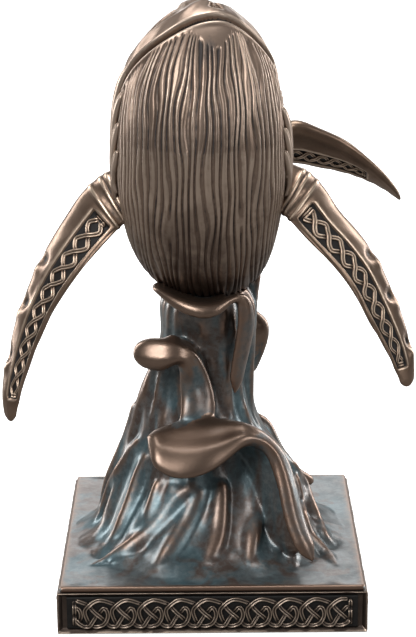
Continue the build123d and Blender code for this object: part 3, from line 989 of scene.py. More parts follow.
@dataclass(frozen=True)
class Plinth:
    """The square block with a frame round a sunk panel on each side, its friezes and its felt."""

    width: float = 90
    height: float = 12.6
    foot: float = 0.3
    bar: float = 1.3
    sunk: float = 1.6
    edge_round: float = 0.4
    felt_width: float = 82.4
    felt_height: float = 1.2
    felt_corner: float = 3
    felt_soft: float = 0.12
    step: float = 1.5
    cast_swell: float = 0.05
    cast_wave: float = 0.04
    rim_width: float = 0.35
    rim_height: float = 0.6
    corner_width: float = 0.9
    wall_depth: float = 0.5
    rubbed: float = 0.85
    wall_relief: float = 0.6
    panel_relief: float = 0.42
    top_relief: float = 0.3
    sides: tuple[str, ...] = ("front", "right", "back", "left")

    def build_block(self) -> None:
        """Makes the block: inset sides pushed in, rounded edges and a slightly uneven cast skin."""
        made = square_box(self.width, self.height, self.foot)
        made.normal_update()
        walls = [face for face in made.faces if abs(face.normal.z) < 0.5]
        bmesh.ops.inset_individual(made, faces=walls, thickness=self.bar, use_even_offset=True)
        for wall in walls:
            bmesh.ops.translate(made, vec=wall.normal * -self.sunk, verts=wall.verts)
        made.normal_update()
        sharp = [edge for edge in made.edges if edge.calc_face_angle(0) > 0.5]
        round_edges(made, sharp, self.edge_round, 3)
        for axis in (0, 1):
            for place in np.arange(-self.width / 2 + self.step, self.width / 2, self.step):
                geometry = made.verts[:] + made.edges[:] + made.faces[:]
                middle, way = [0, 0, 0], [0, 0, 0]
                middle[axis], way[axis] = place, 1
                bmesh.ops.bisect_plane(made, geom=geometry, plane_co=middle, plane_no=way)
        to_metres(made)
        block = finished("plinth_block", made)
        points = read_points(block.data)
        x, y, z = points.T
        swell = self.cast_swell * wander(x / 3 + z / 2, y / 3 - z / 3, Seed.PLINTH_SWELL)
        swell += self.cast_wave * wander(x / 9, y / 9 + z, Seed.PLINTH_WAVE)
        inner = np.clip((z - self.foot) / self.foot, 0, 1)
        shrink = np.maximum(swell + self.cast_wave, 0) * inner / self.width * 2
        points *= (1 - shrink)[:, None] ** (1, 1, 0)
        write_points(block.data, points)
        half = self.width / 2
        reach = np.maximum(np.abs(x), np.abs(y))
        near_top = np.abs(z - self.foot - self.height) < self.rim_height
        rim = (reach > half - self.rim_width) & (near_top | (z < self.foot + self.rim_height))
        corner = np.minimum(np.abs(x), np.abs(y)) > half - self.corner_width
        wall = np.where(reach < half - self.wall_depth, self.panel_relief, self.wall_relief)
        relief = np.where(rim | corner, self.rubbed, wall)
        relief = np.where(near_top & (reach < half - self.rim_height), self.top_relief, relief)
        write_share(block.data, "relief", relief)
        hand_over(block, plinth_bronze.material(), "plinth", "plinth")

    def build_felt(self) -> None:
        """Makes the felt pad, with soft edges."""
        made = square_box(self.felt_width, self.felt_height, 0)

        def rises(edge: bmesh.types.BMEdge) -> bool:
            """Whether an edge of the pad goes up."""
            return abs(edge.verts[0].co.z - edge.verts[1].co.z) > self.felt_soft

        round_edges(made, [edge for edge in made.edges if rises(edge)], self.felt_corner, 8)
        round_edges(made, [edge for edge in made.edges if not rises(edge)], self.felt_soft, 2)
        to_metres(made)
        pad = finished("felt_underside", made, smooth=False)
        hand_over(pad, felt.material(), "felt", "felt_pad")

    def build(self) -> None:
        """Makes the block, its four friezes and the felt."""
        self.build_block()
        knots = Frieze()
        strands = knots.strands()
        for turn, side in enumerate(self.sides):
            knots.build(side, turn * math.pi / 2, strands)
        self.build_felt()


@dataclass(frozen=True)
class Frieze:
    """A strip of running knotwork let into a side of the plinth, each loop over and under."""

    length: float = 84.0
    height: float = 9.8
    middle: float = 6.6
    depth: float = 43.4
    backing: float = 0.8
    knot_height: float = 8.3
    pitch: float = 7.8
    repeats: int = 10
    end_gap: float = 2.4
    bar_gap: float = 0.2
    shift: float = 0.7
    spacing: float = 0.32
    shortest: int = 12
    pit_depth: float = 0.08
    dark: float = 0.12
    ribbon: Ribbon = Ribbon(width=1.35, height=0.75, dip=0.34)
    loop: Table = (
        (0, 0.65), (0.08, 0.76), (0.19, 0.85), (0.49, 1.0), (0.8, 0.96), (1.06, 0.83), (1.28, 0.61),
        (1.57, 0.36), (1.75, 0.15), (1.95, 0.02), (2.1, 0.02), (2.28, 0.22), (2.53, 0.54),
        (2.70, 0.7), (2.82, 0.54), (2.79, 0.26), (2.57, 0.04), (2.26, 0.03), (2.04, 0.33),
    )

    def strands(self) -> list[np.ndarray]:
        """The frieze's lines: two strands that follow each other a pitch apart, and its end bars."""
        lines = []
        run = self.length / 2 - self.end_gap
        for first in (0, 1):
            points = [
                ((2 * turn + first + x) * self.pitch, (y - 0.5) * self.knot_height)
                for turn in range(-1, self.repeats // 2 + 1) for x, y in self.loop
            ]
            line = smooth_run(points, 16 * len(points))
            line[:, 0] -= (self.repeats / 2 + self.shift) * self.pitch
            inside = np.abs(line[:, 0]) < run
            for start in np.flatnonzero(inside & ~np.concatenate([[False], inside[:-1]])):
                stop = start
                while stop < len(line) and inside[stop]:
                    stop += 1
                if stop - start > self.shortest:
                    part = line[start:stop]
                    count = max(int(travelled(part)[-1] / self.spacing), 8)
                    lines.append(smooth_run(part[::4], count))
        for end in (-run - self.bar_gap, run + self.bar_gap):
            bar = [(end, level * self.knot_height / 2) for level in (-1, 0, 1)]
            lines.append(smooth_run(bar, 26))
        return lines

    def build(self, side: str, turn: float, strands: list[np.ndarray]) -> None:
        """Makes one frieze.

        Args:
            side: The side of the plinth that it is on.
            turn: Its turn about the plinth's middle, from the front.
            strands: The knot's lines.
        """
        right = np.array([math.cos(turn), math.sin(turn), 0])
        out = np.array([math.sin(turn), -math.cos(turn), 0])
        floor = self.depth + self.backing

        def lay(flat: np.ndarray, up: np.ndarray) -> np.ndarray:
            """Points of the panel in space."""
            rise = np.array([0, 0, 1])
            return (
                flat[:, :1] * right + (self.middle + flat[:, 1:]) * rise
                + (floor + np.asarray(up))[:, None] * out
            )

        def ground(u: np.ndarray, v: np.ndarray) -> np.ndarray:
            """The pitted ground that the knot stands on, closed behind."""
            across = np.clip((u - 0.06) / 0.88, 0, 1)
            up = np.clip((v - 0.1) / 0.8, 0, 1)
            edge = (u < 0.05) | (u > 0.95) | (v < 0.09) | (v > 0.91)
            flat = np.column_stack([(across - 0.5) * self.length, (up - 0.5) * self.height])
            pits = -self.pit_depth * np.abs(wander(*(flat.T * 1.3), Seed.FRIEZE_PITS))
            height = np.where(edge, -self.backing, pits)
            return np.column_stack([lay(flat, height), np.full(len(u), self.dark)])

        parts = [formed_grid("ground", 130, 22, ground)]
        parts += self.ribbon.net("strand", strands, lay)
        piece = joined(f"frieze_knot_{side}", parts)
        hand_over(piece, frieze_bronze.material(), "frieze", f"frieze_{side}")


# The whale's body


@dataclass
class WhaleBody:
    """Head, pleated throat, back and tail stock, one casting along a curved spine.

    Positions along it are in mm from the tail's end. Angles go round it from the viewer's right
    over the back, so 270 degrees is the middle of the throat.
    """

    width: float = 47.5
    depth: float = 39
    rise: float = 90.4
    reach: float = 84
    saddle: float = 87
    cap: float = 2
    head_start: float = 116
    columns: int = 408
    rows: int = 236
    belly_share: float = 0.78
    pleats: int = 35
    pleat_depth: float = 0.62
    pleat_drift: float = 0.3
    pleat_shiver: float = 0.12
    groove_width: float = 0.19
    groove_spread: float = 0.1
    throat_edge: float = 93
    throat_end: float = 52
    chin_gap: float = 1.2
    chin_bare: float = 6.5
    lip_height: float = 174.3
    lip_fall: float = 19.3
    lip_power: float = 2.2
    lip_shift: float = 8
    lip_rise: float = 0.95
    lower_lip: float = 0.45
    rope_rise: float = 0.28
    mouth_end: float = 106
    mouth_cuts: Table = ((-1.7, 0, 0.6), (-0.4, 5.9, 0.35), (-0.35, 8.3, 0.3))
    tip: float = 3
    tip_from: float = 0.9
    back_round: float = 18.5
    blowhole: float = 126
    blowhole_rise: float = 0.5
    nostril_gap: float = 3.2
    nostril_depth: float = 1.1
    fin_end: float = 54
    fin_height: float = 5.2
    tail_ridge: float = 0.9
    panel_middle: float = 93
    panel_half: float = 29
    panel_width: float = 11.2
    panel_end: float = 27
    panel_sunk: float = 0.75
    panel_rim: float = 0.35
    panel_dark: float = 0.4
    # How dark the band of painted shade under the chin is.
    chin_painted_shade: float = 0.3
    knot_width: float = 8.9
    cast_wave: float = 0.09
    spine: Table = (
        (0.432, 0.857, 0.35), (0.368, 0.738, 0.312), (0.284, 0.595, 0.247), (0.19, 0.44, 0.194),
        (0.095, 0.262, 0.16), (0.015, 0.083, 0.183), (-0.034, -0.054, 0.254), (-0.048, -0.137, 0.393),
        (-0.046, -0.173, 0.564), (-0.042, -0.161, 0.719), (-0.025, -0.143, 0.841),
        (-0.006, -0.125, 0.924), (0.01, -0.107, 0.973), (0.023, -0.099, 1),
    )
    girth: Table = (
        (0.088, 0.103, 0.103), (0.105, 0.162, 0.162), (0.147, 0.226, 0.226), (0.21, 0.282, 0.295),
        (0.295, 0.333, 0.36), (0.379, 0.385, 0.436), (0.453, 0.423, 0.5), (0.499, 0.462, 0.526),
        (0.505, 0.474, 0.526), (0.478, 0.436, 0.474), (0.4, 0.346, 0.385), (0.282, 0.231, 0.269),
        (0.158, 0.128, 0.154), (0, 0, 0),
    )
    crown_knobs: tuple[float, ...] = (150.5, 147, 143, 138.5)
    side_knobs: Table = (
        (28, 148), (33, 142.5), (37, 136.5), (42, 130), (15, 151), (60, 140), (68, 133),
    )
    knob_rings: Table = ((0.6, 0, 0.95), (-0.12, 1.8, 0.5))
    eye_rings: Table = ((0.9, 0, 1.2), (-0.6, 1.9, 0.45), (0.5, 2.9, 0.6))
    leaf: Table = (
        (2, 78, 0.1), (-3, 86, 0.5), (-9, 92, 0.9), (-15, 91, 1.0), (-19, 85, 0.2),
    )
    leaf_points: int = 40
    eyes: Table = ((14, 128), (170, 128))
    knots: np.ndarray = field(init=False)
    line: np.ndarray = field(init=False)
    squares: np.ndarray = field(init=False)

    def __post_init__(self) -> None:
        """Works out the spine's points and the girths' squares, with a round cap at the tail."""
        points = np.array(self.spine) * (self.width, self.reach, self.rise) + (0, 0, self.saddle)
        girth = (np.array(self.girth) * (self.width, self.depth, self.depth)) ** 2
        first = points[0] - unit(points[1] - points[0]) * self.cap
        self.line = np.vstack([first, points])
        self.squares = np.vstack([[0, 0, 0], girth])
        self.knots = travelled(self.line) - self.cap

    def frames(self, at: np.ndarray) -> tuple[np.ndarray, ...]:
        """The spine's points, and the ways across and back there."""
        middle = spline_through(self.knots, self.line, at)
        ahead = unit(spline_through(self.knots, self.line, at + 0.05) - middle)
        side = np.array([1.0, 0, 0])
        side = unit(side - ahead * (ahead @ side)[:, None])
        return middle, side, np.cross(ahead, side)

    def skin(self, at: np.ndarray, angle: np.ndarray) -> np.ndarray:
        """Points of the plain skin, before anything is carved.

        Args:
            at: Positions along the body, in mm.
            angle: Angles round it, in degrees.
        """
        at = np.clip(at, self.knots[0] + 1e-4, self.knots[-1] - 1e-4)
        middle, side, back = self.frames(at)
        radii = np.sqrt(np.maximum(spline_through(self.knots, self.squares, at), 0))
        turn = np.radians(angle)
        depth = np.where(np.sin(turn) > 0, radii[:, 1], radii[:, 2]) * np.sin(turn)
        return middle + side * (radii[:, 0] * np.cos(turn))[:, None] + back * depth[:, None]

    def measure(self, at: np.ndarray, angle: np.ndarray) -> tuple[np.ndarray, ...]:
        """The skin's points, outward normals, and a step along and a step round it."""
        base = self.skin(at, angle)
        along = self.skin(at + 0.02, angle) - self.skin(at - 0.02, angle)
        around = self.skin(at, angle + 0.1) - self.skin(at, angle - 0.1)
        return base, unit(np.cross(around, along)), along / 2, around / 2

    def lay(self, at: np.ndarray, angle: np.ndarray, lift: np.ndarray) -> np.ndarray:
        """Points on the skin, lifted off it."""
        base, out, _, _ = self.measure(at, angle)
        return base + out * np.asarray(lift)[:, None]

    def front(self, angle: np.ndarray) -> np.ndarray:
        """Degrees from the middle of the throat, to the viewer's right."""
        return (angle - 270 + 180) % 360 - 180

    def over_lip(self, at: np.ndarray, angle: np.ndarray) -> np.ndarray:
        """Distance on the skin above the mouth's line, in mm."""
        def height(position: np.ndarray, turn: np.ndarray) -> np.ndarray:
            """Height above the mouth's line."""
            share = np.abs(self.front(turn) - self.lip_shift) / 90
            lip = self.lip_height - self.lip_fall * share ** self.lip_power
            return self.skin(position, turn)[:, 2] - lip

        _, _, along, around = self.measure(at, angle)
        here = height(at, angle)
        rise = (height(at + 0.02, angle) - here) / np.maximum(np.linalg.norm(along, axis=1), 1e-6)
        turn = (height(at, angle + 0.1) - here) / np.maximum(np.linalg.norm(around, axis=1), 1e-6)
        return here / np.maximum(np.hypot(rise, turn), 0.25)

    def throat(self, at: np.ndarray, front: np.ndarray, over: np.ndarray) -> np.ndarray:
        """The wavy pleats: flat ridges and lens-shaped grooves that pinch, widen and end."""
        drift = self.pleat_drift * wander(front / 11, at / 12, Seed.PLEAT_DRIFT)
        drift += self.pleat_shiver * wander(front / 6, at / 7, Seed.PLEAT_SHIVER)
        count = (front + 90) / 180 * self.pleats + drift
        index = np.round(count)
        spread = np.clip(wander(index * 1.7, at / 9, Seed.PLEAT_WIDTH) + 0.1, 0, 1)
        width = self.groove_width + self.groove_spread * spread
        kept = ease(wander(index * 2.3, at / 13, Seed.PLEAT_KEPT), -1.9, -1.4)
        groove = np.exp(-np.abs((count - index) / width) ** 3)
        chin = -self.chin_gap - self.chin_bare * bell(front, 9, 17)
        start = ease(over, chin, chin - 2)
        edge = ease(np.abs(front), self.throat_edge, self.throat_edge - 9)
        edge *= ease(at, self.throat_end, self.throat_end + 14)
        return -self.pleat_depth * groove * kept * start * edge

    def mouth(self, front: np.ndarray, over: np.ndarray) -> np.ndarray:
        """The slit of the mouth, its lips and the ornament bands above them."""
        turn = np.abs(front - self.lip_shift)
        here = ease(turn, self.mouth_end + 6, self.mouth_end - 4)
        lip = self.lip_rise * ease(over, 0.2, 1.4) * ease(over, 5.6, 4.6)
        lower = self.lower_lip * ease(over, -2.4, -0.8) * (over < 0)
        twist = np.sin(front * 0.9 + over * 2.2)
        rope = self.rope_rise * twist * ease(over, 6.1, 6.5) * ease(over, 8.1, 7.7)
        return here * (lip + lower + bells(over, self.mouth_cuts) + rope)

    def knobs(self, base: np.ndarray) -> np.ndarray:
        """The head's round knobs and the eyes, as lifts of the skin's points."""
        spots = [(90, place, 1, self.knob_rings) for place in self.crown_knobs]
        for turn, place in self.side_knobs:
            spots += [(90 + hand * turn, place, 1, self.knob_rings) for hand in (-1, 1)]
        spots += [(turn, place, 1.25, self.eye_rings) for turn, place in self.eyes]
        lift = np.zeros(len(base))
        for turn, place, upright, rings in spots:
            centre = self.skin(np.array([float(place)]), np.array([float(turn)]))[0]
            lift += bells(np.linalg.norm((base - centre) * (1, 1, upright), axis=1), rings)
        return lift

    def back_forms(self, at: np.ndarray, angle: np.ndarray) -> np.ndarray:
        """The blowholes on their mound, the fin, the tail's ridge, and the panel with its rim."""
        side = self.across_back(angle)
        lift = self.blowhole_rise * bell(side, 0, 4.2) * bell(at, self.blowhole, 3.6)
        for nostril in (-self.nostril_gap / 2, self.nostril_gap / 2):
            lift -= self.nostril_depth * bell(side, nostril, 0.55) * bell(at, self.blowhole, 2.2)
        fin = np.exp(-np.clip(self.fin_end - at, 0, None) / 3)
        fin *= ease(at, self.fin_end + 7, self.fin_end - 1)
        lift += self.fin_height * bell(side, 0, 2.1) * fin
        teeth = np.sin(at * 1.35) ** 2 * ease(at, 50, 44) * ease(at, 6, 12)
        lift += self.tail_ridge * bell(side, 0, 2.2) * teeth
        rim = self.panel_mask(at, angle, 1.3) - self.panel_mask(at, angle, 0.15)
        panel = self.panel_rim * rim - self.panel_sunk * self.panel_mask(at, angle)
        return lift * ease(np.abs(angle - 90), 100, 80) + panel

    def carved(self, at: np.ndarray, angle: np.ndarray, base: np.ndarray) -> np.ndarray:
        """How far the cast skin stands off the plain one, in mm."""
        front, over = self.front(angle), self.over_lip(at, angle)
        lift = self.throat(at, front, over) + self.mouth(front, over)
        lift += self.knobs(base) + self.back_forms(at, angle)
        wave = wander(front / 9, at / 4, Seed.SKIN_WAVE) * ease(over, -2, 4)
        return lift + self.cast_wave * wave

    def across_back(self, angle: np.ndarray) -> np.ndarray:
        """Distance round the back from its middle line, in mm."""
        return np.radians(angle - 90) * self.back_round

    def panel_mask(self, at: np.ndarray, angle: np.ndarray, wide: float = 0) -> np.ndarray:
        """1 inside the knot panel on the back, 0 outside it; wide grows it by so many mm."""
        side, along = np.abs(self.across_back(angle)), np.abs(at - self.panel_middle)
        bow = np.sqrt(np.clip(1 - (along / (self.panel_half + wide)) ** 2, 0, 1))
        shape = self.panel_width * bow + wide
        end = self.panel_end + wide
        return ease(side, shape, shape - 0.6) * ease(along, end + 0.5, end)

    def place(self, u: np.ndarray, v: np.ndarray) -> np.ndarray:
        """The cast skin, with the finest rows on the head and the finest columns on the throat."""
        end = self.knots[-1]
        tip = end - self.tip * ((1 - np.clip(v, self.tip_from, 1)) / (1 - self.tip_from)) ** 2
        shares, places = [0, 0.03, 0.36, self.tip_from], [-self.cap, 0, self.head_start, end - self.tip]
        at = np.where(v > self.tip_from, tip, np.interp(v, shares, places))
        back_share = 1 - self.belly_share
        part = np.clip(u / back_share, 0, 1) * 2 - 1
        back = 90 + 90 * part * (0.62 + 0.38 * part ** 2)
        angle = np.where(u < back_share, back, 180 + 180 * (u - back_share) / self.belly_share)
        base, out, _, _ = self.measure(at, angle)
        lift = self.carved(at, angle, base)
        lift *= ease(at, end - 0.05, end - 1.2) * ease(at, -self.cap, 1)
        front, over = self.front(angle), self.over_lip(at, angle)
        # Painted shade: a dark band under the chin. The sunk panel is darkened too, as patina in its hollow.
        dark = self.chin_painted_shade * bell(over, -9.5, 4) * bell(front, 3, 9)
        dark += self.panel_dark * self.panel_mask(at, angle)
        return np.column_stack([base + out * lift[:, None], 0.5 - dark])

    def build_knots(self) -> list[bpy.types.Object]:
        """Makes the interlace in the panel on the back, our own plait of three."""
        ribbon = Ribbon(width=2.3, height=0.8, dip=0.36)

        def lay(flat: np.ndarray, up: np.ndarray) -> np.ndarray:
            """Points of the panel in space."""
            angle = 90 + np.degrees(flat[:, 1] / self.back_round)
            return self.lay(self.panel_middle + flat[:, 0], angle, np.asarray(up) - 0.7)

        strands = []
        for line in plait(52, 1, 24, 3):
            share = line[:, 0] / (self.panel_half - 0.5)
            narrow = self.knot_width * np.sqrt(np.clip(1 - share ** 2, 0, 1))
            strands.append(smooth_run(np.column_stack([line[:, 0], 2 * line[:, 1] * narrow])[::5], 230))
        return ribbon.net("back_strand", strands, lay)

    def build_shoulder(self, name: str, side: int, first: float, last: float, count: int) -> None:
        """Makes the overlapping rope of leaves over one shoulder.

        Args:
            name: The piece's name.
            side: -1 for the viewer's left, 1 for the right.
            first: Where the top leaf starts along the body.
            last: Where the bottom leaf starts.
            count: How many leaves there are.
        """
        parts = []
        for k, start in enumerate(np.linspace(first, last, count)):
            rows = [(start + along, turn, lift) for along, turn, lift in self.leaf]
            bend = smooth_run(rows, self.leaf_points)
            angle = 270 + side * bend[:, 1]
            line = self.lay(bend[:, 0], angle, bend[:, 2])
            out = line - self.lay(bend[:, 0], angle, bend[:, 2] - 1)
            share = np.linspace(0, 1, self.leaf_points)
            radii = 0.45 + 1.4 * np.sin(np.pi * share ** 0.75) ** 0.8
            parts.append(swept(f"leaf_{k}", line, radii, out, 0.62, 14))
            ridge = line + unit(out) * (0.5 * radii)[:, None]
            parts.append(swept(f"vein_{k}", ridge, 0.16 + 0.16 * radii, out, 0.9, 8))
        piece = joined(name, parts)
        mark_relief(piece, 6, 0.2)
        hand_over(piece, whale_bronze.material(), "whale")

    def build(self) -> None:
        """Makes the body with its back knots, and the shoulders' ropes."""
        body = formed_grid("whale_skin", self.columns, self.rows, self.place)
        mark_relief(body, 14, 0.42, keep=True)
        hand_over(body, whale_bronze.material(), "whale", "whale_body")
        knots = joined("whale_back_knot", self.build_knots())
        hand_over(knots, whale_bronze.material(), "whale")
        self.build_shoulder("left_shoulder_rope", -1, 134, 112, 4)
        self.build_shoulder("right_shoulder_rope", 1, 124, 112, 3)


# Flippers and fluke


@dataclass
class Blade:
    """A flipper or the fluke: a thick leading band, and a sunk panel of knotwork behind it.

    A position along it is a share of its length. Its outline is read from the middle of the leading
    edge over the upper face to the trailing edge and back under the lower face. Depths, heights and
    bands are in mm. Where a dent, its crown or a cuff lies and how wide it is are shares of the
    length (long, after, width) or of the chord (share, step, wide, lean).
    """

    name: str
    node: str
    places: np.ndarray
    acrosses: np.ndarray
    ups: np.ndarray
    chords: np.ndarray
    thicknesses: np.ndarray
    panels: Table
    dents: tuple[float, ...]
    knot_pitch: float = 12
    panel_low: float = 0.02
    panel_high: float = 0.4
    sunk: float = 0.85
    start_round: float = 0.01
    tip_round: float = 0.03
    cuffs: tuple[float, ...] = ()
    panel_edge: float = 0.3
    panel_end: float = 0.5
    bar_inset: float = 0.9
    least_share: float = 0.25
    cuff_height: float = 0.5
    cuff_lean: float = 0.01
    cuff_width: float = 0.0065
    lead_from: float = -0.12
    dent_depth: float = 1.35
    dent_long: float = 0.022
    dent_wide: float = 0.12
    dent_share: float = -0.32
    dent_step: float = 0.04
    dent_crown: float = 0.45
    crown_after: float = 0.045
    crown_long: float = 0.02
    crown_wide: float = 0.14
    crown_share: float = -0.36
    wave_size: float = 0.08
    rib_size: float = 0.12
    rib_pace: float = 5
    rib_span: tuple[float, float] = (0.05, 0.47)
    ground: tuple[float, float] = (0.5, 0.45)
    lift_share: tuple[float, float] = (0.4, 0.6)
    relief_rounds: int = 12
    relief_size: float = 0.32
    band: float = 1.5
    band_height: float = 0.65
    band_dip: float = 0.3
    wrap: int = 4
    columns: int = 120
    rows: int = 260
    outline: Table = (
        (-0.5, 0), (-0.39, 0.38), (-0.12, 0.5), (0.2, 0.37), (0.42, 0.16), (0.5, 0), (0.42, -0.16),
        (0.2, -0.37), (-0.12, -0.5), (-0.39, -0.38),
    )
    length: float = field(init=False)
    knots: np.ndarray = field(init=False)
    rim: np.ndarray = field(init=False)

    def __post_init__(self) -> None:
        """Works out the distances along the blade and the smooth outline of its section."""
        far = travelled(self.places)
        self.knots = far / far[-1]
        self.length = far[-1]
        count = len(self.outline)
        steps = range(-self.wrap, count + self.wrap + 1)
        table = np.array([self.outline[k % count] for k in steps])
        self.rim = spline_through(np.array(steps), table, np.linspace(0, count, 40 * count + 1))

    def read(self, table: np.ndarray, at: np.ndarray) -> np.ndarray:
        """A table's smooth values at shares of the length."""
        return spline_through(self.knots, table, np.clip(at, 0, 1))

    def skin(self, at: np.ndarray, rim: np.ndarray, inset: np.ndarray) -> np.ndarray:
        """Points of the blade.

        Args:
            at: Shares of the length.
            rim: Shares of the outline's run.
            inset: How far the face is sunk, in mm.
        """
        around = np.linspace(0, 1, len(self.rim))
        along, thick = (np.interp(rim % 1, around, column) for column in self.rim.T)
        size = self.size_at(at)
        up = thick * size[:, 1]
        up = np.sign(up) * np.maximum(np.abs(up) - inset, self.least_share * np.abs(up))
        across, rise = unit(self.read(self.acrosses, at)), unit(self.read(self.ups, at))
        return self.read(self.places, at) + across * (along * size[:, 0])[:, None] + rise * up[:, None]

    def chord_share(self, rim: np.ndarray) -> np.ndarray:
        """Where across the chord a place on the outline is, from -0.5 at the leading edge."""
        return np.interp(rim % 1, np.linspace(0, 1, len(self.rim)), self.rim[:, 0])

    def size_at(self, at: np.ndarray) -> np.ndarray:
        """Rows of chord and thickness at shares of the length."""
        return self.read(np.column_stack([self.chords, self.thicknesses]), at)

    def panel_mask(self, at: np.ndarray, rim: np.ndarray) -> np.ndarray:
        """1 inside the sunk panels, 0 outside them."""
        share = self.chord_share(rim)
        gap = self.panel_edge / np.maximum(self.size_at(at)[:, 0], 1)
        wide = ease(share, self.panel_low - gap, self.panel_low + gap)
        wide *= ease(share, self.panel_high + gap, self.panel_high - gap)
        inside = np.zeros_like(at)
        step = self.panel_end / self.length
        for low, high in self.panels:
            long = ease(at, low - step, low + step) * ease(at, high + step, high - step)
            inside = np.maximum(inside, long)
        return wide * inside

    def place(self, u: np.ndarray, v: np.ndarray) -> np.ndarray:
        """The cast blade, with its sunk panels, the dents of its leading band and closed ends."""
        at = 0.5 - 0.5 * np.cos(np.pi * v) * (0.55 + 0.45 * np.cos(np.pi * v) ** 2)
        size = self.size_at(at)
        share = self.chord_share(u)
        sunk = self.sunk * self.panel_mask(at, u)
        lead = ease(share, 0, self.lead_from)
        for k, dent in enumerate(self.dents):
            dent_share = self.dent_share + self.dent_step * (k % 2)
            hollow = bell(at, dent, self.dent_long) * bell(share, dent_share, self.dent_wide)
            crown = bell(at, dent + self.crown_after, self.crown_long)
            crown = crown * bell(share, self.crown_share, self.crown_wide)
            sunk = sunk + self.dent_depth * hollow - self.dent_crown * crown
        sunk = sunk - self.wave_size * wander(at * self.length / 5, share * 6, Seed.BAND_WAVE) * lead
        fine = self.rib_size * np.sin(share * size[:, 0] * self.rib_pace)
        fine = fine * ease(share, self.panel_high + self.rib_span[0], self.rib_span[1])
        for cuff in self.cuffs:
            fine = fine + self.cuff_height * bell(at, cuff + self.cuff_lean * share, self.cuff_width)
        points = self.skin(at, u, sunk - fine)
        from_end = np.minimum(at / self.start_round, (1 - at) / self.tip_round)
        close = np.sqrt(np.clip(1 - (1 - np.clip(from_end, 0, 1)) ** 2, 0, 1))[:, None]
        middle = self.read(self.places, at)
        ground = self.ground[0] - self.ground[1] * self.panel_mask(at, u)
        return np.column_stack([middle + (points - middle) * close, ground])

    def lay(self, face: int) -> Place:
        """The rule that lays flat points on the upper (1) or lower (-1) sunk face."""
        half = len(self.rim) // 2
        side = self.rim[:half + 1] if face > 0 else self.rim[half:][::-1]
        where = np.linspace(0, 0.5, half + 1) if face > 0 else np.linspace(1, 0.5, half + 1)
        middle = (self.panel_low + self.panel_high) / 2

        def laid(flat: np.ndarray, up: np.ndarray) -> np.ndarray:
            """Points of the panel in space: along in mm, and across in mm at full chord."""
            at = flat[:, 0] / self.length
            chord = self.size_at(at)[:, 0]
            scale = chord / self.chords.max()
            share = middle + flat[:, 1] * scale / chord
            rim = np.interp(share, side[:, 0], where)
            lift = np.asarray(up) * np.clip(self.lift_share[0] + self.lift_share[1] * scale, 0, 1)
            return self.skin(at, rim, self.sunk - lift)

        return laid

    def strands(self) -> list[np.ndarray]:
        """The knot's lines: a pointed plait of two in each panel, with bars at its ends."""
        lines = []
        high = (self.panel_high - self.panel_low) * self.chords.max() - 2 * self.bar_inset - self.panel_edge
        for low, stop in self.panels:
            start, end = low * self.length + self.bar_inset, stop * self.length - self.bar_inset
            for line in plait(end - start, high, self.knot_pitch, 2, 0.45):
                lines.append(line + ((start + end) / 2, 0))
            for edge in (start, end):
                lines.append(smooth_run([(edge, -high / 2), (edge, 0), (edge, high / 2)], 16))
        return lines

    def build(self) -> None:
        """Makes the blade and the knotwork on both of its faces."""
        parts = [formed_grid("skin", self.columns, self.rows, self.place)]
        mark_relief(parts[0], self.relief_rounds, self.relief_size, keep=True)
        strands = self.strands()
        ribbon = Ribbon(width=self.band, height=self.band_height, dip=self.band_dip)
        for face in (1, -1):
            parts += ribbon.net(f"strand_{face}", strands, self.lay(face))
        piece = joined(self.name, parts)
        hand_over(piece, fin_bronze.material(), "fin", self.node)


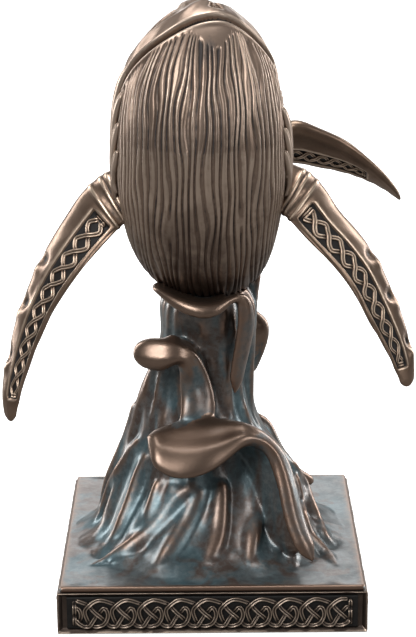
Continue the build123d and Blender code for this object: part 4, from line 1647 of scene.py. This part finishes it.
@dataclass(frozen=True)
class Limbs:
    """The two flippers and the tail fluke, placed along the same tables as the CAD's."""

    body: WhaleBody
    length: float = 74
    chord: float = 18
    thickness: float = 6.5
    fluke_span: float = 86
    fluke_chord: float = 20
    fluke_thickness: float = 7
    fluke_droop: float = math.radians(52)
    left_root: Spot = (0.568, -0.095, 0.376)
    right_root: Spot = (0.526, -0.095, 0.384)
    left_run: Table = (
        (-0.15, 0.03, 0.04), (0, 0, 0), (0.104, -0.013, -0.101), (0.2, -0.027, -0.23),
        (0.28, -0.04, -0.36), (0.347, -0.061, -0.507), (0.394, -0.088, -0.649),
        (0.424, -0.122, -0.777), (0.43, -0.147, -0.872),
    )
    right_run: Table = (
        (-0.15, 0.03, 0.04), (0, 0, 0), (0.088, -0.013, -0.101), (0.18, -0.02, -0.203),
        (0.27, -0.027, -0.324), (0.345, -0.04, -0.473), (0.392, -0.054, -0.574),
        (0.426, -0.074, -0.669), (0.446, -0.095, -0.766),
    )
    sizes: Table = (
        (0.86, 1.15), (0.94, 1.15), (1, 1), (0.96, 0.95), (0.88, 0.88), (0.76, 0.8), (0.62, 0.68),
        (0.5, 0.55), (0.28, 0.3),
    )
    left_turns: tuple[float, ...] = (60, 52, 42, 36, 33, 33, 33, 33, 33)
    right_turns: tuple[float, ...] = (56, 46, 35, 34, 36, 40, 42, 42, 42)
    fluke_run: Table = (
        (0, 0, 0), (0.14, 0, 0.06), (0.34, 0, -0.02), (0.55, 0.02, -0.16), (0.74, 0.06, -0.36),
        (0.9, 0.1, -0.6), (1, 0.14, -0.8),
    )
    fluke_sizes: Table = (
        (0.86, 1), (1, 1), (0.96, 0.86), (0.8, 0.7), (0.56, 0.5), (0.34, 0.34), (0.16, 0.2),
    )

    def flipper(self, name: str, hand: int, root: Spot, run: Table, turns: tuple[float, ...],
                dents: tuple[float, ...]) -> Blade:
        """Works out one flipper.

        Args:
            name: Its CAD node.
            hand: -1 for the viewer's left, 1 for the right.
            root: Its root, in shares of the whale's sizes.
            run: Its stations, in shares of its length.
            turns: How far each section is turned, in degrees.
            dents: Where its leading band is dented.

        Returns:
            The flipper, ready to build.
        """
        body = self.body
        start = np.array(root) * (body.width, body.reach, body.rise) + (0, 0, body.saddle)
        places = np.array(run) * self.length + start
        far = travelled(places)
        ahead = unit(spline_through(far, places, far + 0.01) - places)
        across = unit(np.array([0, 1.0, 0]) - ahead * ahead[:, 1:2])
        turn = np.radians(np.array(turns))[:, None]
        across = across * np.cos(turn) + np.cross(ahead, across) * np.sin(turn)
        mirror = np.array([hand, 1, 1])
        ups = np.cross(ahead, across)
        return Blade(
            name + "_blade", name, places * mirror, -across * mirror, ups * mirror,
            np.array(self.sizes)[:, 0] * self.chord, np.array(self.sizes)[:, 1] * self.thickness,
            panels=((0.215, 0.92),), dents=dents, cuffs=(0.13, 0.15, 0.185),
        )

    def fluke(self) -> Blade:
        """Works out the fluke, from the left tip over the notch to the right one."""
        back = np.array([0, math.cos(self.fluke_droop), -math.sin(self.fluke_droop)])
        centre = self.body.line[1]
        places, sizes = [], []
        for hand, rows in ((-1, range(len(self.fluke_run) - 1, 0, -1)), (1, range(len(self.fluke_run)))):
            for k in rows:
                out, aft, down = self.fluke_run[k]
                shift = np.array([hand * out * self.fluke_span / 2, 0, down * self.fluke_chord])
                places.append(centre + shift + back * aft * self.fluke_chord)
                sizes.append(self.fluke_sizes[k])
        count, sizes = len(places), np.array(sizes)
        return Blade(
            "tail_fluke_blade", "tail_fluke", np.array(places), np.tile(back, (count, 1)),
            np.tile(np.cross([1.0, 0, 0], back), (count, 1)), sizes[:, 0] * self.fluke_chord,
            sizes[:, 1] * self.fluke_thickness, panels=((0.16, 0.44), (0.56, 0.84)), dents=(),
            panel_low=0.0, panel_high=0.36, knot_pitch=9, rows=300, start_round=0.02, tip_round=0.02,
        )

    def build(self) -> None:
        """Makes both flippers and the fluke."""
        self.flipper("left_flipper", -1, self.left_root, self.left_run, self.left_turns,
                     (0.45, 0.6, 0.78)).build()
        self.flipper("right_flipper", 1, self.right_root, self.right_run, self.right_turns,
                     (0.5, 0.66, 0.84)).build()
        self.fluke().build()


# The water


@dataclass(frozen=True)
class Curl:
    """A curling crest of water, drawn between its two edges as the photograph shows them.

    Each row has the upper edge's pixel and depth, the lower edge's pixel and depth, and the
    thickness there. Depths are distances behind the whale's middle plane in mm, less than 0 in front.
    """

    name: str
    rows: Table
    bronze: tuple[float, float]
    crown: float = 0.0
    groove: float = 0.0
    columns: int = 90
    ring: int = 44
    root_from: float = 0.3
    root_share: float = 0.6
    root_drop: float = 4.0
    root_thickness: float = 5.0
    root_end: float = 1.0
    root_floor: float = 14.0
    axis: tuple[float, float] = (-2.5, 0.5)
    end_share: float = 14
    groove_at: float = 0.15
    groove_width: float = 0.35
    edge_power: float = 0.8
    face_rows: int = 9

    def edges(self, studio: Studio) -> tuple[np.ndarray, np.ndarray, np.ndarray]:
        """The two edges in space and the thickness, at the curl's columns."""
        table = np.array(self.rows)
        upper = np.array([studio.at_depth(u, v, y) for u, v, y in table[:, :3]])
        lower = np.array([studio.at_depth(u, v, y) for u, v, y in table[:, 3:6]])
        middle = travelled((upper + lower) / 2)
        knots = (middle + travelled(upper) + travelled(lower)) / 3
        at = np.linspace(0, knots[-1], self.columns + 1)
        read = spline_through(knots, np.column_stack([upper, lower, table[:, 6]]), at)
        return read[:, :3], read[:, 3:6], read[:, 6]

    def build(self, studio: Studio) -> list[bpy.types.Object]:
        """Makes the curl, and the root by which it grows out of the trunk."""
        upper, lower, thick = self.edges(studio)
        start = upper + self.root_from * (lower - upper)
        start = start[:int(self.root_end * len(upper))]
        inward = np.array([*self.axis, 0.0]) - start
        inward[:, 2] = 0
        end = start + self.root_share * inward - (0, 0, self.root_drop)
        end[:, 2] = np.maximum(end[:, 2], self.root_floor)
        deep = np.full(len(start), self.root_thickness)
        return [
            self.lens(studio, self.name, upper, lower, thick, self.crown, self.groove),
            self.lens(studio, self.name + "_root", start, end, deep, 0.0, 0.0),
        ]

    def lens(self, studio: Studio, name: str, upper: np.ndarray, lower: np.ndarray, thick: np.ndarray,
             crown: float, groove: float) -> bpy.types.Object:
        """A closed lens between two edges.

        Args:
            studio: Tells which side faces the viewer.
            name: The object's name.
            upper: Points of one edge, in mm.
            lower: Points of the other.
            thick: Thickness at each pair.
            crown: How far its middle bulges towards the viewer.
            groove: Depth of the shallow groove along it.
        """
        middle, half = (upper + lower) / 2, (upper - lower) / 2
        ahead = unit(np.gradient(middle, axis=0))
        out = unit(np.cross(unit(half), ahead))
        eye = np.array(studio.eye) / MM
        out *= np.sign((out * (eye - middle)).sum(axis=1))[:, None]

        def place(u: np.ndarray, v: np.ndarray) -> np.ndarray:
            """Points round the lens."""
            k = np.rint(v * (len(thick) - 1)).astype(int)
            turn = 2 * np.pi * u
            across, up = np.cos(turn), np.sin(turn)
            end = np.sqrt(np.clip(np.minimum(v, 1 - v) * self.end_share, 0, 1))
            lens = np.sign(up) * np.abs(up) ** self.edge_power * thick[k] / 2
            lens += crown * (1 - across ** 2) * end
            hollow = bell(across, self.groove_at, self.groove_width) * (up > 0)
            lens -= groove * hollow * np.sin(np.pi * v) * end
            return middle[k] + half[k] * (across * end)[:, None] + out[k] * (lens * end)[:, None]

        return formed_grid(name, self.ring, len(thick) - 1, place)

    def face_points(self, studio: Studio) -> np.ndarray:
        """Points over the curl's whole face, each with its bronze share."""
        upper, lower, _ = self.edges(studio)
        share = np.linspace(0, 1, len(upper))
        bronze = ease(share, self.bronze[1], self.bronze[0])
        rows = [upper + (lower - upper) * part for part in np.linspace(0, 1, self.face_rows)]
        return np.vstack([np.column_stack([row, bronze]) for row in rows])


front_curl = Curl("front_curl", (
    (145, 434, -25, 145, 437, -26, 1.2), (149, 430, -24, 146, 449, -29, 2.6),
    (157, 428, -22, 151, 464, -33, 3.4), (172, 423, -20, 163, 475, -35, 4.0),
    (190, 419, -19, 182, 480, -36, 4.2), (208, 418, -19, 203, 476, -35, 4.2),
    (227, 419, -19, 222, 466, -32, 4.0), (247, 424, -20, 240, 451, -28, 4.0),
    (266, 434, -20, 252, 447, -25, 4.0), (281, 450, -20, 264, 454, -24, 4.0),
    (290, 470, -21, 272, 471, -26, 3.8), (296, 492, -23, 278, 492, -29, 3.6),
    (302, 514, -26, 283, 518, -32, 3.2), (311, 538, -30, 291, 543, -35, 2.6),
    (324, 560, -34, 303, 568, -38, 1.6),
), bronze=(0.34, 0.6), crown=1.6, groove=1.1)
left_curl = Curl("left_curl", (
    (134, 354, -14, 135, 357, -15, 1.6), (137, 344, -14, 139, 365, -17, 3.4),
    (146, 338, -15, 148, 370, -19, 4.6), (158, 337, -16, 159, 372, -20, 5.2),
    (174, 340, -17, 169, 369, -20, 5.8), (190, 347, -16, 177, 364, -19, 5.6),
    (202, 360, -15, 179, 374, -18, 4.8), (210, 378, -14, 179, 384, -17, 4.0),
    (215, 396, -15, 180, 397, -18, 3.2), (216, 412, -17, 179, 412, -20, 2.8),
    (214, 428, -19, 177, 428, -22, 1.8),
), bronze=(0.36, 0.62), crown=1.2, groove=1.2, columns=70)
cradle_curl = Curl("cradle_curl", (
    (151, 281, -7, 153, 287, -9, 1.4), (155, 284, -11, 157, 293, -13, 2.6),
    (164, 288, -14, 166, 303, -17, 3.0), (180, 297, -17, 181, 313, -21, 3.4),
    (196, 302, -18, 197, 318, -23, 3.6), (212, 303, -18, 211, 318, -23, 3.6),
    (226, 299, -17, 224, 312, -21, 3.4), (238, 293, -15, 233, 304, -18, 3.2),
    (246, 295, -13, 237, 303, -17, 3.2), (251, 304, -12, 238, 311, -17, 3.2),
    (253, 318, -11, 238, 322, -17, 3.2), (251, 336, -11, 236, 338, -17, 3.2),
    (247, 354, -11, 233, 356, -17, 3.0), (243, 374, -12, 230, 374, -17, 2.6),
    (240, 396, -14, 229, 396, -17, 1.6),
), bronze=(0.5, 0.66), crown=0.6, root_thickness=3.2, root_drop=1.0, root_end=0.5)
rear_curl = Curl("rear_curl", (
    (250, 306, 14, 250, 312, 10, 2.0), (257, 312, 14, 254, 322, 10, 3.0), (264, 316, 14, 256, 332, 10, 3.4),
    (268, 324, 14, 256, 344, 10, 3.4), (266, 336, 14, 254, 356, 10, 3.2), (260, 352, 14, 251, 366, 10, 2.8),
    (254, 370, 14, 246, 378, 10, 2.0),
), bronze=(0.1, 0.9), crown=0.4, columns=40, ring=30)
right_curl = Curl("right_curl", (
    (248, 408, 14, 250, 420, 11, 2.4), (258, 412, 14, 258, 430, 11, 3.4), (268, 418, 14, 266, 444, 11, 3.8),
    (276, 432, 14, 272, 458, 11, 3.8), (284, 448, 14, 278, 470, 11, 3.6), (292, 460, 15, 286, 478, 12, 3.2),
    (304, 470, 16, 298, 485, 13, 2.6), (318, 477, 18, 312, 490, 15, 1.6),
), bronze=(0.0, 0.1), crown=0.5, columns=50, ring=30)
sheet_curl = Curl("sheet_curl", (
    (262, 262, 6, 250, 268, 3, 1.2), (262, 274, 5, 245, 280, 2, 2.0), (260, 286, 4, 244, 290, 1, 2.6),
    (257, 300, 3, 246, 302, 0, 3.0), (255, 318, 2, 247, 320, -1, 3.0), (254, 340, 2, 246, 342, -1, 3.0),
    (253, 366, 1, 244, 368, -2, 2.8), (253, 392, 0, 243, 394, -3, 2.4), (254, 416, -1, 244, 418, -4, 1.4),
), bronze=(0.0, 0.05), crown=0.4, columns=60, ring=28)


@dataclass(frozen=True)
class Water:
    """The slab of sea, the mound and column that rise from it, and the curling crests.

    The trunk's levels are rows of height, shift across, shift back, half-width and half-depth. Each
    front ridge is a row of pixels in the photograph, where a fold of the water catches the light.
    Sizes are in mm. In a pair that is named span, from, to or rim, an effect starts at the first
    place and is full at the second.
    """

    studio: Studio
    slab_width: float = 88.4
    slab_foot: float = 12.9
    slab_top: float = 14.6
    slab_round: float = 0.5
    core_end: float = 0.02
    core_crowding: float = 1.25
    core_middle: float = -1.0
    core_columns: int = 220
    core_rows: int = 150
    voxel: float = 0.5
    split: float = 38.6
    folds: int = 17
    fold_drift: float = 2.5
    fold_lean: float = 17
    fold_size: float = 0.4
    fold_growth: float = 0.5
    fold_span: tuple[float, float] = (34, 18)
    fold_wander: float = 0.8
    fold_foot: float = 16
    foot_flow: float = 0.05
    foot_span: tuple[float, float] = (24, 14)
    ridge_ring: int = 12
    ridge_least: float = 0.55
    ridge_most: float = 0.45
    ridge_up: Spot = (0.0, -0.8, 0.6)
    ridge_flat: float = 0.5
    skirt_row: float = 500
    ridge_back: float = 5
    ridge_size: float = 1.3
    ridge_points: int = 60
    skirt_size: float = 2.9
    skirt_thin: float = 0.75
    skirt_drop: float = 0.9
    thin_from: float = 0.6
    drop_from: float = 0.7
    back_ridges: int = 15
    back_span: tuple[float, float] = (-0.12, 3.26)
    back_points: int = 70
    back_foot: float = 14.4
    back_high: tuple[float, float] = (46, 84)
    back_swirl: tuple[float, float] = (-0.3, 0.3)
    back_shift: tuple[float, float] = (-0.08, 0.08)
    back_size: tuple[float, float] = (0.8, 1.15)
    back_bend: float = 0.06
    back_pace: float = 7
    back_least: float = 0.5
    back_most: float = 1.3
    back_scale: float = 1.3
    back_flat: float = 0.55
    shoulder_radius: float = 3.0
    shoulder_taper: tuple[float, float] = (1.15, 0.85)
    shoulder_ring: int = 16
    shoulder_cover: float = 2.6
    shoulder_points: int = 24
    relax_rounds: int = 20
    slab_rounds: int = 4
    swell: float = 0.16
    ripple: float = 0.03
    trough: float = 0.08
    flat_from: tuple[float, float] = (16, 15)
    top_from: tuple[float, float] = (13.6, 14.3)
    top_to: tuple[float, float] = (18, 15.2)
    top_rim: tuple[float, float] = (43.6, 41)
    relief_rounds: int = 45
    bronze_foot: float = 26
    bronze_reach: float = 5.4
    bronze_soft: float = 2.2
    levels: Table = (
        (13.2, -0.4, -1.5, 42, 40.5), (14.9, -0.4, -1.6, 39.5, 37), (17, -0.8, -1.8, 35.5, 32),
        (21, -1.4, -1.6, 32, 27.5), (26, -2, -1.2, 29.6, 23.6), (35, -2, -0.4, 25.6, 19.4),
        (43, -3.2, 0.2, 21.2, 16.6), (52, -4, 0.6, 17.2, 14.4), (59, -4, 1, 15.8, 13),
        (66, -3.2, 1, 14.8, 12.2), (75, -1.6, 0.6, 13.8, 12), (82, -1, 0, 14, 12.6),
        (88, -0.8, 0, 14, 13), (92, -0.8, 0, 12, 11.5),
    )
    front_ridges: tuple[Table, ...] = (
        (
            (196, 484), (174.5, 501), (167, 513.5), (152, 530), (131.6, 546), (111, 558), (91, 566.5),
            (72, 575),
        ),
        ((201, 486), (191, 511), (183, 527), (172, 545), (157, 565.5), (144, 581)),
        ((150, 452), (142, 470), (136, 490), (130, 508), (120, 527), (109, 542), (98, 554)),
        ((140, 440), (128, 460), (116, 481), (107, 505), (96, 522), (84, 537)),
        ((137, 400), (131, 430), (120, 460), (109, 484), (99, 506), (88, 524)),
        ((222, 480), (221, 496), (219.5, 516), (216, 540), (209, 557), (199, 577)),
        ((243, 458), (247, 474), (251, 491), (254, 516), (251, 548), (249.5, 568), (250, 584)),
        ((256, 470), (261, 492), (265, 512), (270, 530), (273, 552), (271, 578)),
        ((268, 480), (276, 510), (281, 535), (290, 560), (300, 580)),
        ((292, 470), (297, 494), (300, 516), (306, 534), (322, 552), (336, 566), (350, 578)),
        ((290, 460), (303, 488), (310, 509), (320, 530), (334, 546), (346, 556)),
        ((160, 480), (156, 500), (150, 520), (138, 538)),
        ((176, 484), (170, 500), (160, 518), (146, 536)),
        ((186, 372), (194, 384), (197, 399), (195, 414), (192, 424)),
        ((181, 374), (182, 390), (183, 405), (182, 421)),
        ((212, 322), (210, 345), (214, 365), (221, 388), (226, 410)),
        ((222, 318), (224, 340), (225, 362), (229, 386), (232, 412)),
        ((232, 312), (234, 334), (232, 356), (226, 376), (222, 394)),
        ((200, 320), (206, 334), (212, 350)),
        ((150, 372), (146, 392), (141, 416), (131, 444)), ((160, 374), (157, 396), (153, 418), (146, 436)),
        ((170, 374), (169, 394), (166, 414), (160, 428)),
        ((242, 400), (245, 412), (250, 424)), ((248, 380), (249, 398), (252, 414), (262, 428)),
    )

    def trunk(self, height: np.ndarray, angle: np.ndarray) -> np.ndarray:
        """Points of the trunk's core, with its broad, wandering folds.

        Args:
            height: Heights in mm.
            angle: Angles round it in radians, from the viewer's right over the back.
        """
        table = np.array(self.levels)
        read = spline_through(table[:, 0], table[:, 1:], np.clip(height, table[0, 0], table[-1, 0]))
        drift = self.fold_drift * wander(angle * 1.2, height / 22, Seed.FOLD_DRIFT)
        wave = np.sin(self.folds * angle + drift + height / self.fold_lean)
        low = ease(height, *self.fold_span)
        side, back = np.cos(angle), np.sin(angle)
        reach = (self.fold_size + self.fold_growth * low) * wave
        reach += self.fold_wander * wander(side * 2, back * 2 + height / 15, Seed.FOLD_REACH)
        reach *= ease(height, self.levels[0][0], self.fold_foot)
        flow = self.foot_flow * ease(height, *self.foot_span) * np.cos(2 * angle) ** 2
        return np.column_stack([
            read[:, 0] + (read[:, 2] * (1 + flow) + reach) * side,
            read[:, 1] + (read[:, 3] * (1 + flow) + reach) * back, height,
        ])

    def build_core(self) -> bpy.types.Object:
        """Makes the slab and the plain trunk, which the ridges are laid on."""
        low, high = self.levels[0][0], self.levels[-1][0]

        def place(u: np.ndarray, v: np.ndarray) -> np.ndarray:
            """Points of the trunk, closed over its top and under its foot."""
            share = np.clip((v - self.core_end) / (1 - 2 * self.core_end), 0, 1)
            height = low + (high - low) * share ** self.core_crowding
            points = self.trunk(height, 2 * np.pi * u)
            close = np.clip(np.minimum(v, 1 - v) / self.core_end, 0, 1)
            centre = np.column_stack([np.full(len(u), self.core_middle), np.zeros(len(u)), height])
            return centre + (points - centre) * close[:, None]

        trunk = formed_grid("trunk", self.core_columns, self.core_rows, place)
        made = square_box(self.slab_width, self.slab_top - self.slab_foot, self.slab_foot)
        round_edges(made, made.edges[:], self.slab_round, 3)
        to_metres(made)
        slab = finished("slab", made, smooth=False)
        return joined("water_core", [trunk, slab])

    def build_ridges(self, core: bpy.types.Object) -> list[bpy.types.Object]:
        """Lays the photograph's ridges on the core, and adds those round the back."""
        shape = bmesh.new()
        shape.from_mesh(core.data)
        tree = BVHTree.FromBMesh(shape)
        shape.free()
        eye = Vector(self.studio.eye)
        parts = []
        for number, pixels in enumerate(self.front_ridges):
            line, depth = [], 0.0
            for across, down in smooth_run(list(pixels), 26):
                hit, _, _, _ = tree.ray_cast(eye, self.studio.ray(across, down))
                if hit is not None:
                    depth = min(hit.y / MM, self.ridge_back)
                line.append(self.studio.at_depth(across, down, depth))
            line = smooth_run(line[::3], self.ridge_points)
            share = np.linspace(0, 1, self.ridge_points)
            skirt = pixels[-1][1] > self.skirt_row
            size = self.skirt_size if skirt else self.ridge_size
            swelling = np.sin(np.pi * np.clip(share * 0.9 + 0.06, 0, 1))
            radii = size * (self.ridge_least + self.ridge_most * swelling)
            if skirt:
                radii *= 1 - self.skirt_thin * ease(share, self.thin_from, 1)
                line[:, 2] -= self.skirt_drop * ease(share, self.drop_from, 1)
            ups = np.tile(self.ridge_up, (self.ridge_points, 1))
            parts.append(swept(f"ridge_{number}", line, radii, ups, self.ridge_flat, self.ridge_ring))
        return parts + self.build_back_ridges()

    def build_back_ridges(self) -> list[bpy.types.Object]:
        """Makes the guessed folds round the sides and the back."""
        parts = []
        share = np.linspace(0, 1, self.back_points)
        dice = np.random.default_rng(int(Seed.BACK_RIDGES))
        for number, middle in enumerate(np.linspace(*self.back_span, self.back_ridges)):
            height = np.linspace(dice.uniform(*self.back_high), self.back_foot, self.back_points)
            swirl = dice.uniform(*self.back_swirl)
            angle = middle + dice.uniform(*self.back_shift) + swirl * share
            angle += self.back_bend * np.sin(share * self.back_pace + number)
            line = smooth_run(self.trunk(height, angle)[::7], self.back_points)
            swelling = np.sin(np.pi * np.clip(share * 0.85 + 0.1, 0, 1))
            radii = self.back_least + self.back_most * swelling
            radii *= self.back_scale * dice.uniform(*self.back_size)
            ups = np.column_stack([np.cos(angle), np.sin(angle), np.full(self.back_points, 0.5)])
            parts.append(swept(f"back_ridge_{number}", line, radii, ups, self.back_flat, self.ridge_ring))
        return parts

    def build_shoulders(self) -> list[bpy.types.Object]:
        """Makes the thick root that each crest's dowel sits in, along the dowel itself."""
        parts = []
        for name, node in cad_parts.items():
            if not name.endswith("crest_pin"):
                continue
            points = read_points(node.data)
            centre = (points.max(axis=0) + points.min(axis=0)) / 2
            axis = np.linalg.svd(points - points.mean(axis=0), full_matrices=False)[2][0]
            axis *= np.sign(axis[:2] @ centre[:2])
            half = np.abs((points - centre) @ axis).max()
            along = np.linspace(-half, half + self.shoulder_cover, self.shoulder_points)
            line = centre + along[:, None] * axis
            radii = np.linspace(*self.shoulder_taper, self.shoulder_points) * self.shoulder_radius
            ups = np.tile([0.0, 0.0, 1.0], (self.shoulder_points, 1))
            parts.append(swept(name + "_shoulder", line, radii, ups, ring=self.shoulder_ring))
        return parts

    def fused(self, parts: list[bpy.types.Object]) -> bpy.types.Object:
        """All the water as one flowing skin."""
        whole = joined("water_skin", parts)
        modifier = whole.modifiers.new("fuse", "REMESH")
        modifier.mode = "VOXEL"
        modifier.voxel_size = self.voxel * MM
        graph = bpy.context.evaluated_depsgraph_get()
        mesh = bpy.data.meshes.new_from_object(whole.evaluated_get(graph))
        bpy.data.objects.remove(whole)
        skin = linked("water_skin", mesh)
        points = read_points(mesh)
        smooth = relaxed(mesh, points, self.relax_rounds)
        flat = ease(points[:, 2], *self.flat_from)[:, None]
        points = smooth * (1 - flat) + relaxed(mesh, points, self.slab_rounds) * flat
        x, y, z = points.T
        top = ease(z, *self.top_from) * ease(z, *self.top_to)
        top = top * ease(np.maximum(np.abs(x), np.abs(y)), *self.top_rim)
        lift = self.swell * wander(x / 9, y / 12, Seed.SEA_SWELL)
        lift += self.ripple * wander(x / 3, y / 4, Seed.SEA_RIPPLE)
        points[:, 2] += top * (lift - self.trough)
        write_points(mesh, points)
        return skin

    def mark_bronze(self, skin: bpy.types.Object, curls: tuple[Curl, ...]) -> None:
        """Writes how far each point belongs to a bronze crest."""
        points = read_points(skin.data)
        marks = np.vstack([curl.face_points(self.studio) for curl in curls])
        tree = KDTree(len(marks))
        for index, mark in enumerate(marks):
            tree.insert(mark[:3], index)
        tree.balance()
        share = np.zeros(len(points))
        for index in np.flatnonzero(points[:, 2] > self.bronze_foot):
            _, nearest, away = tree.find(points[index])
            near = max(0.0, min(1.0, (self.bronze_reach - away) / self.bronze_soft))
            share[index] = marks[nearest, 3] * near
        write_share(skin.data, "bronze", share)

    def cut(self, skin: bpy.types.Object, name: str, keep_upper: bool) -> bpy.types.Object:
        """One of the two castings that the water is cut into at the joint's level.

        Args:
            skin: The whole water.
            name: The piece's name.
            keep_upper: Whether it is the upper casting.

        Returns:
            The piece, closed at the cut by a flat face with a sharp rim.
        """
        half = bmesh.new()
        half.from_mesh(skin.data)
        geometry = half.verts[:] + half.edges[:] + half.faces[:]
        bmesh.ops.bisect_plane(
            half, geom=geometry, plane_co=(0, 0, self.split * MM), plane_no=(0, 0, 1),
            clear_inner=keep_upper, clear_outer=not keep_upper,
        )
        rim = [edge for edge in half.edges if edge.is_boundary]
        bmesh.ops.holes_fill(half, edges=rim, sides=0)
        for edge in rim:
            edge.smooth = False
        return finished(name, half)

    def build(self) -> None:
        """Makes the water and cuts it into its two castings."""
        curls = (front_curl, left_curl, cradle_curl, rear_curl, right_curl, sheet_curl)
        core = self.build_core()
        parts = self.build_ridges(core)
        parts += [part for curl in curls for part in curl.build(self.studio)]
        skin = self.fused([core, *parts, *self.build_shoulders()])
        mark_relief(skin, self.relief_rounds, 1.0)
        self.mark_bronze(skin, curls)
        sea = self.cut(skin, "sea_and_mound", False)
        wave = self.cut(skin, "curling_wave", True)
        bpy.data.objects.remove(skin)
        material = water_patina.material()
        hand_over(sea, material, "water", "sea_slab", "right_swell")
        hand_over(wave, material, "water", "wave_column", "cradle_crest", "front_crest", "left_crest",
                  "rear_crest")


# The figurine


def dress_dowels() -> None:
    """Gives the hidden steel dowels their finish."""
    for name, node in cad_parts.items():
        if name.endswith("_pin"):
            node.data.materials.clear()
            node.data.materials.append(steel.material())


def main() -> None:
    """Builds the studio and the figurine's sub-assemblies in order."""
    logging.basicConfig(level=logging.INFO, format="%(name)s: %(message)s")
    studio = Studio()
    studio.build()
    Plinth().build()
    Water(studio).build()
    whale = WhaleBody()
    whale.build()
    Limbs(whale).build()
    dress_dowels()


if __name__ == "__main__":
    main()
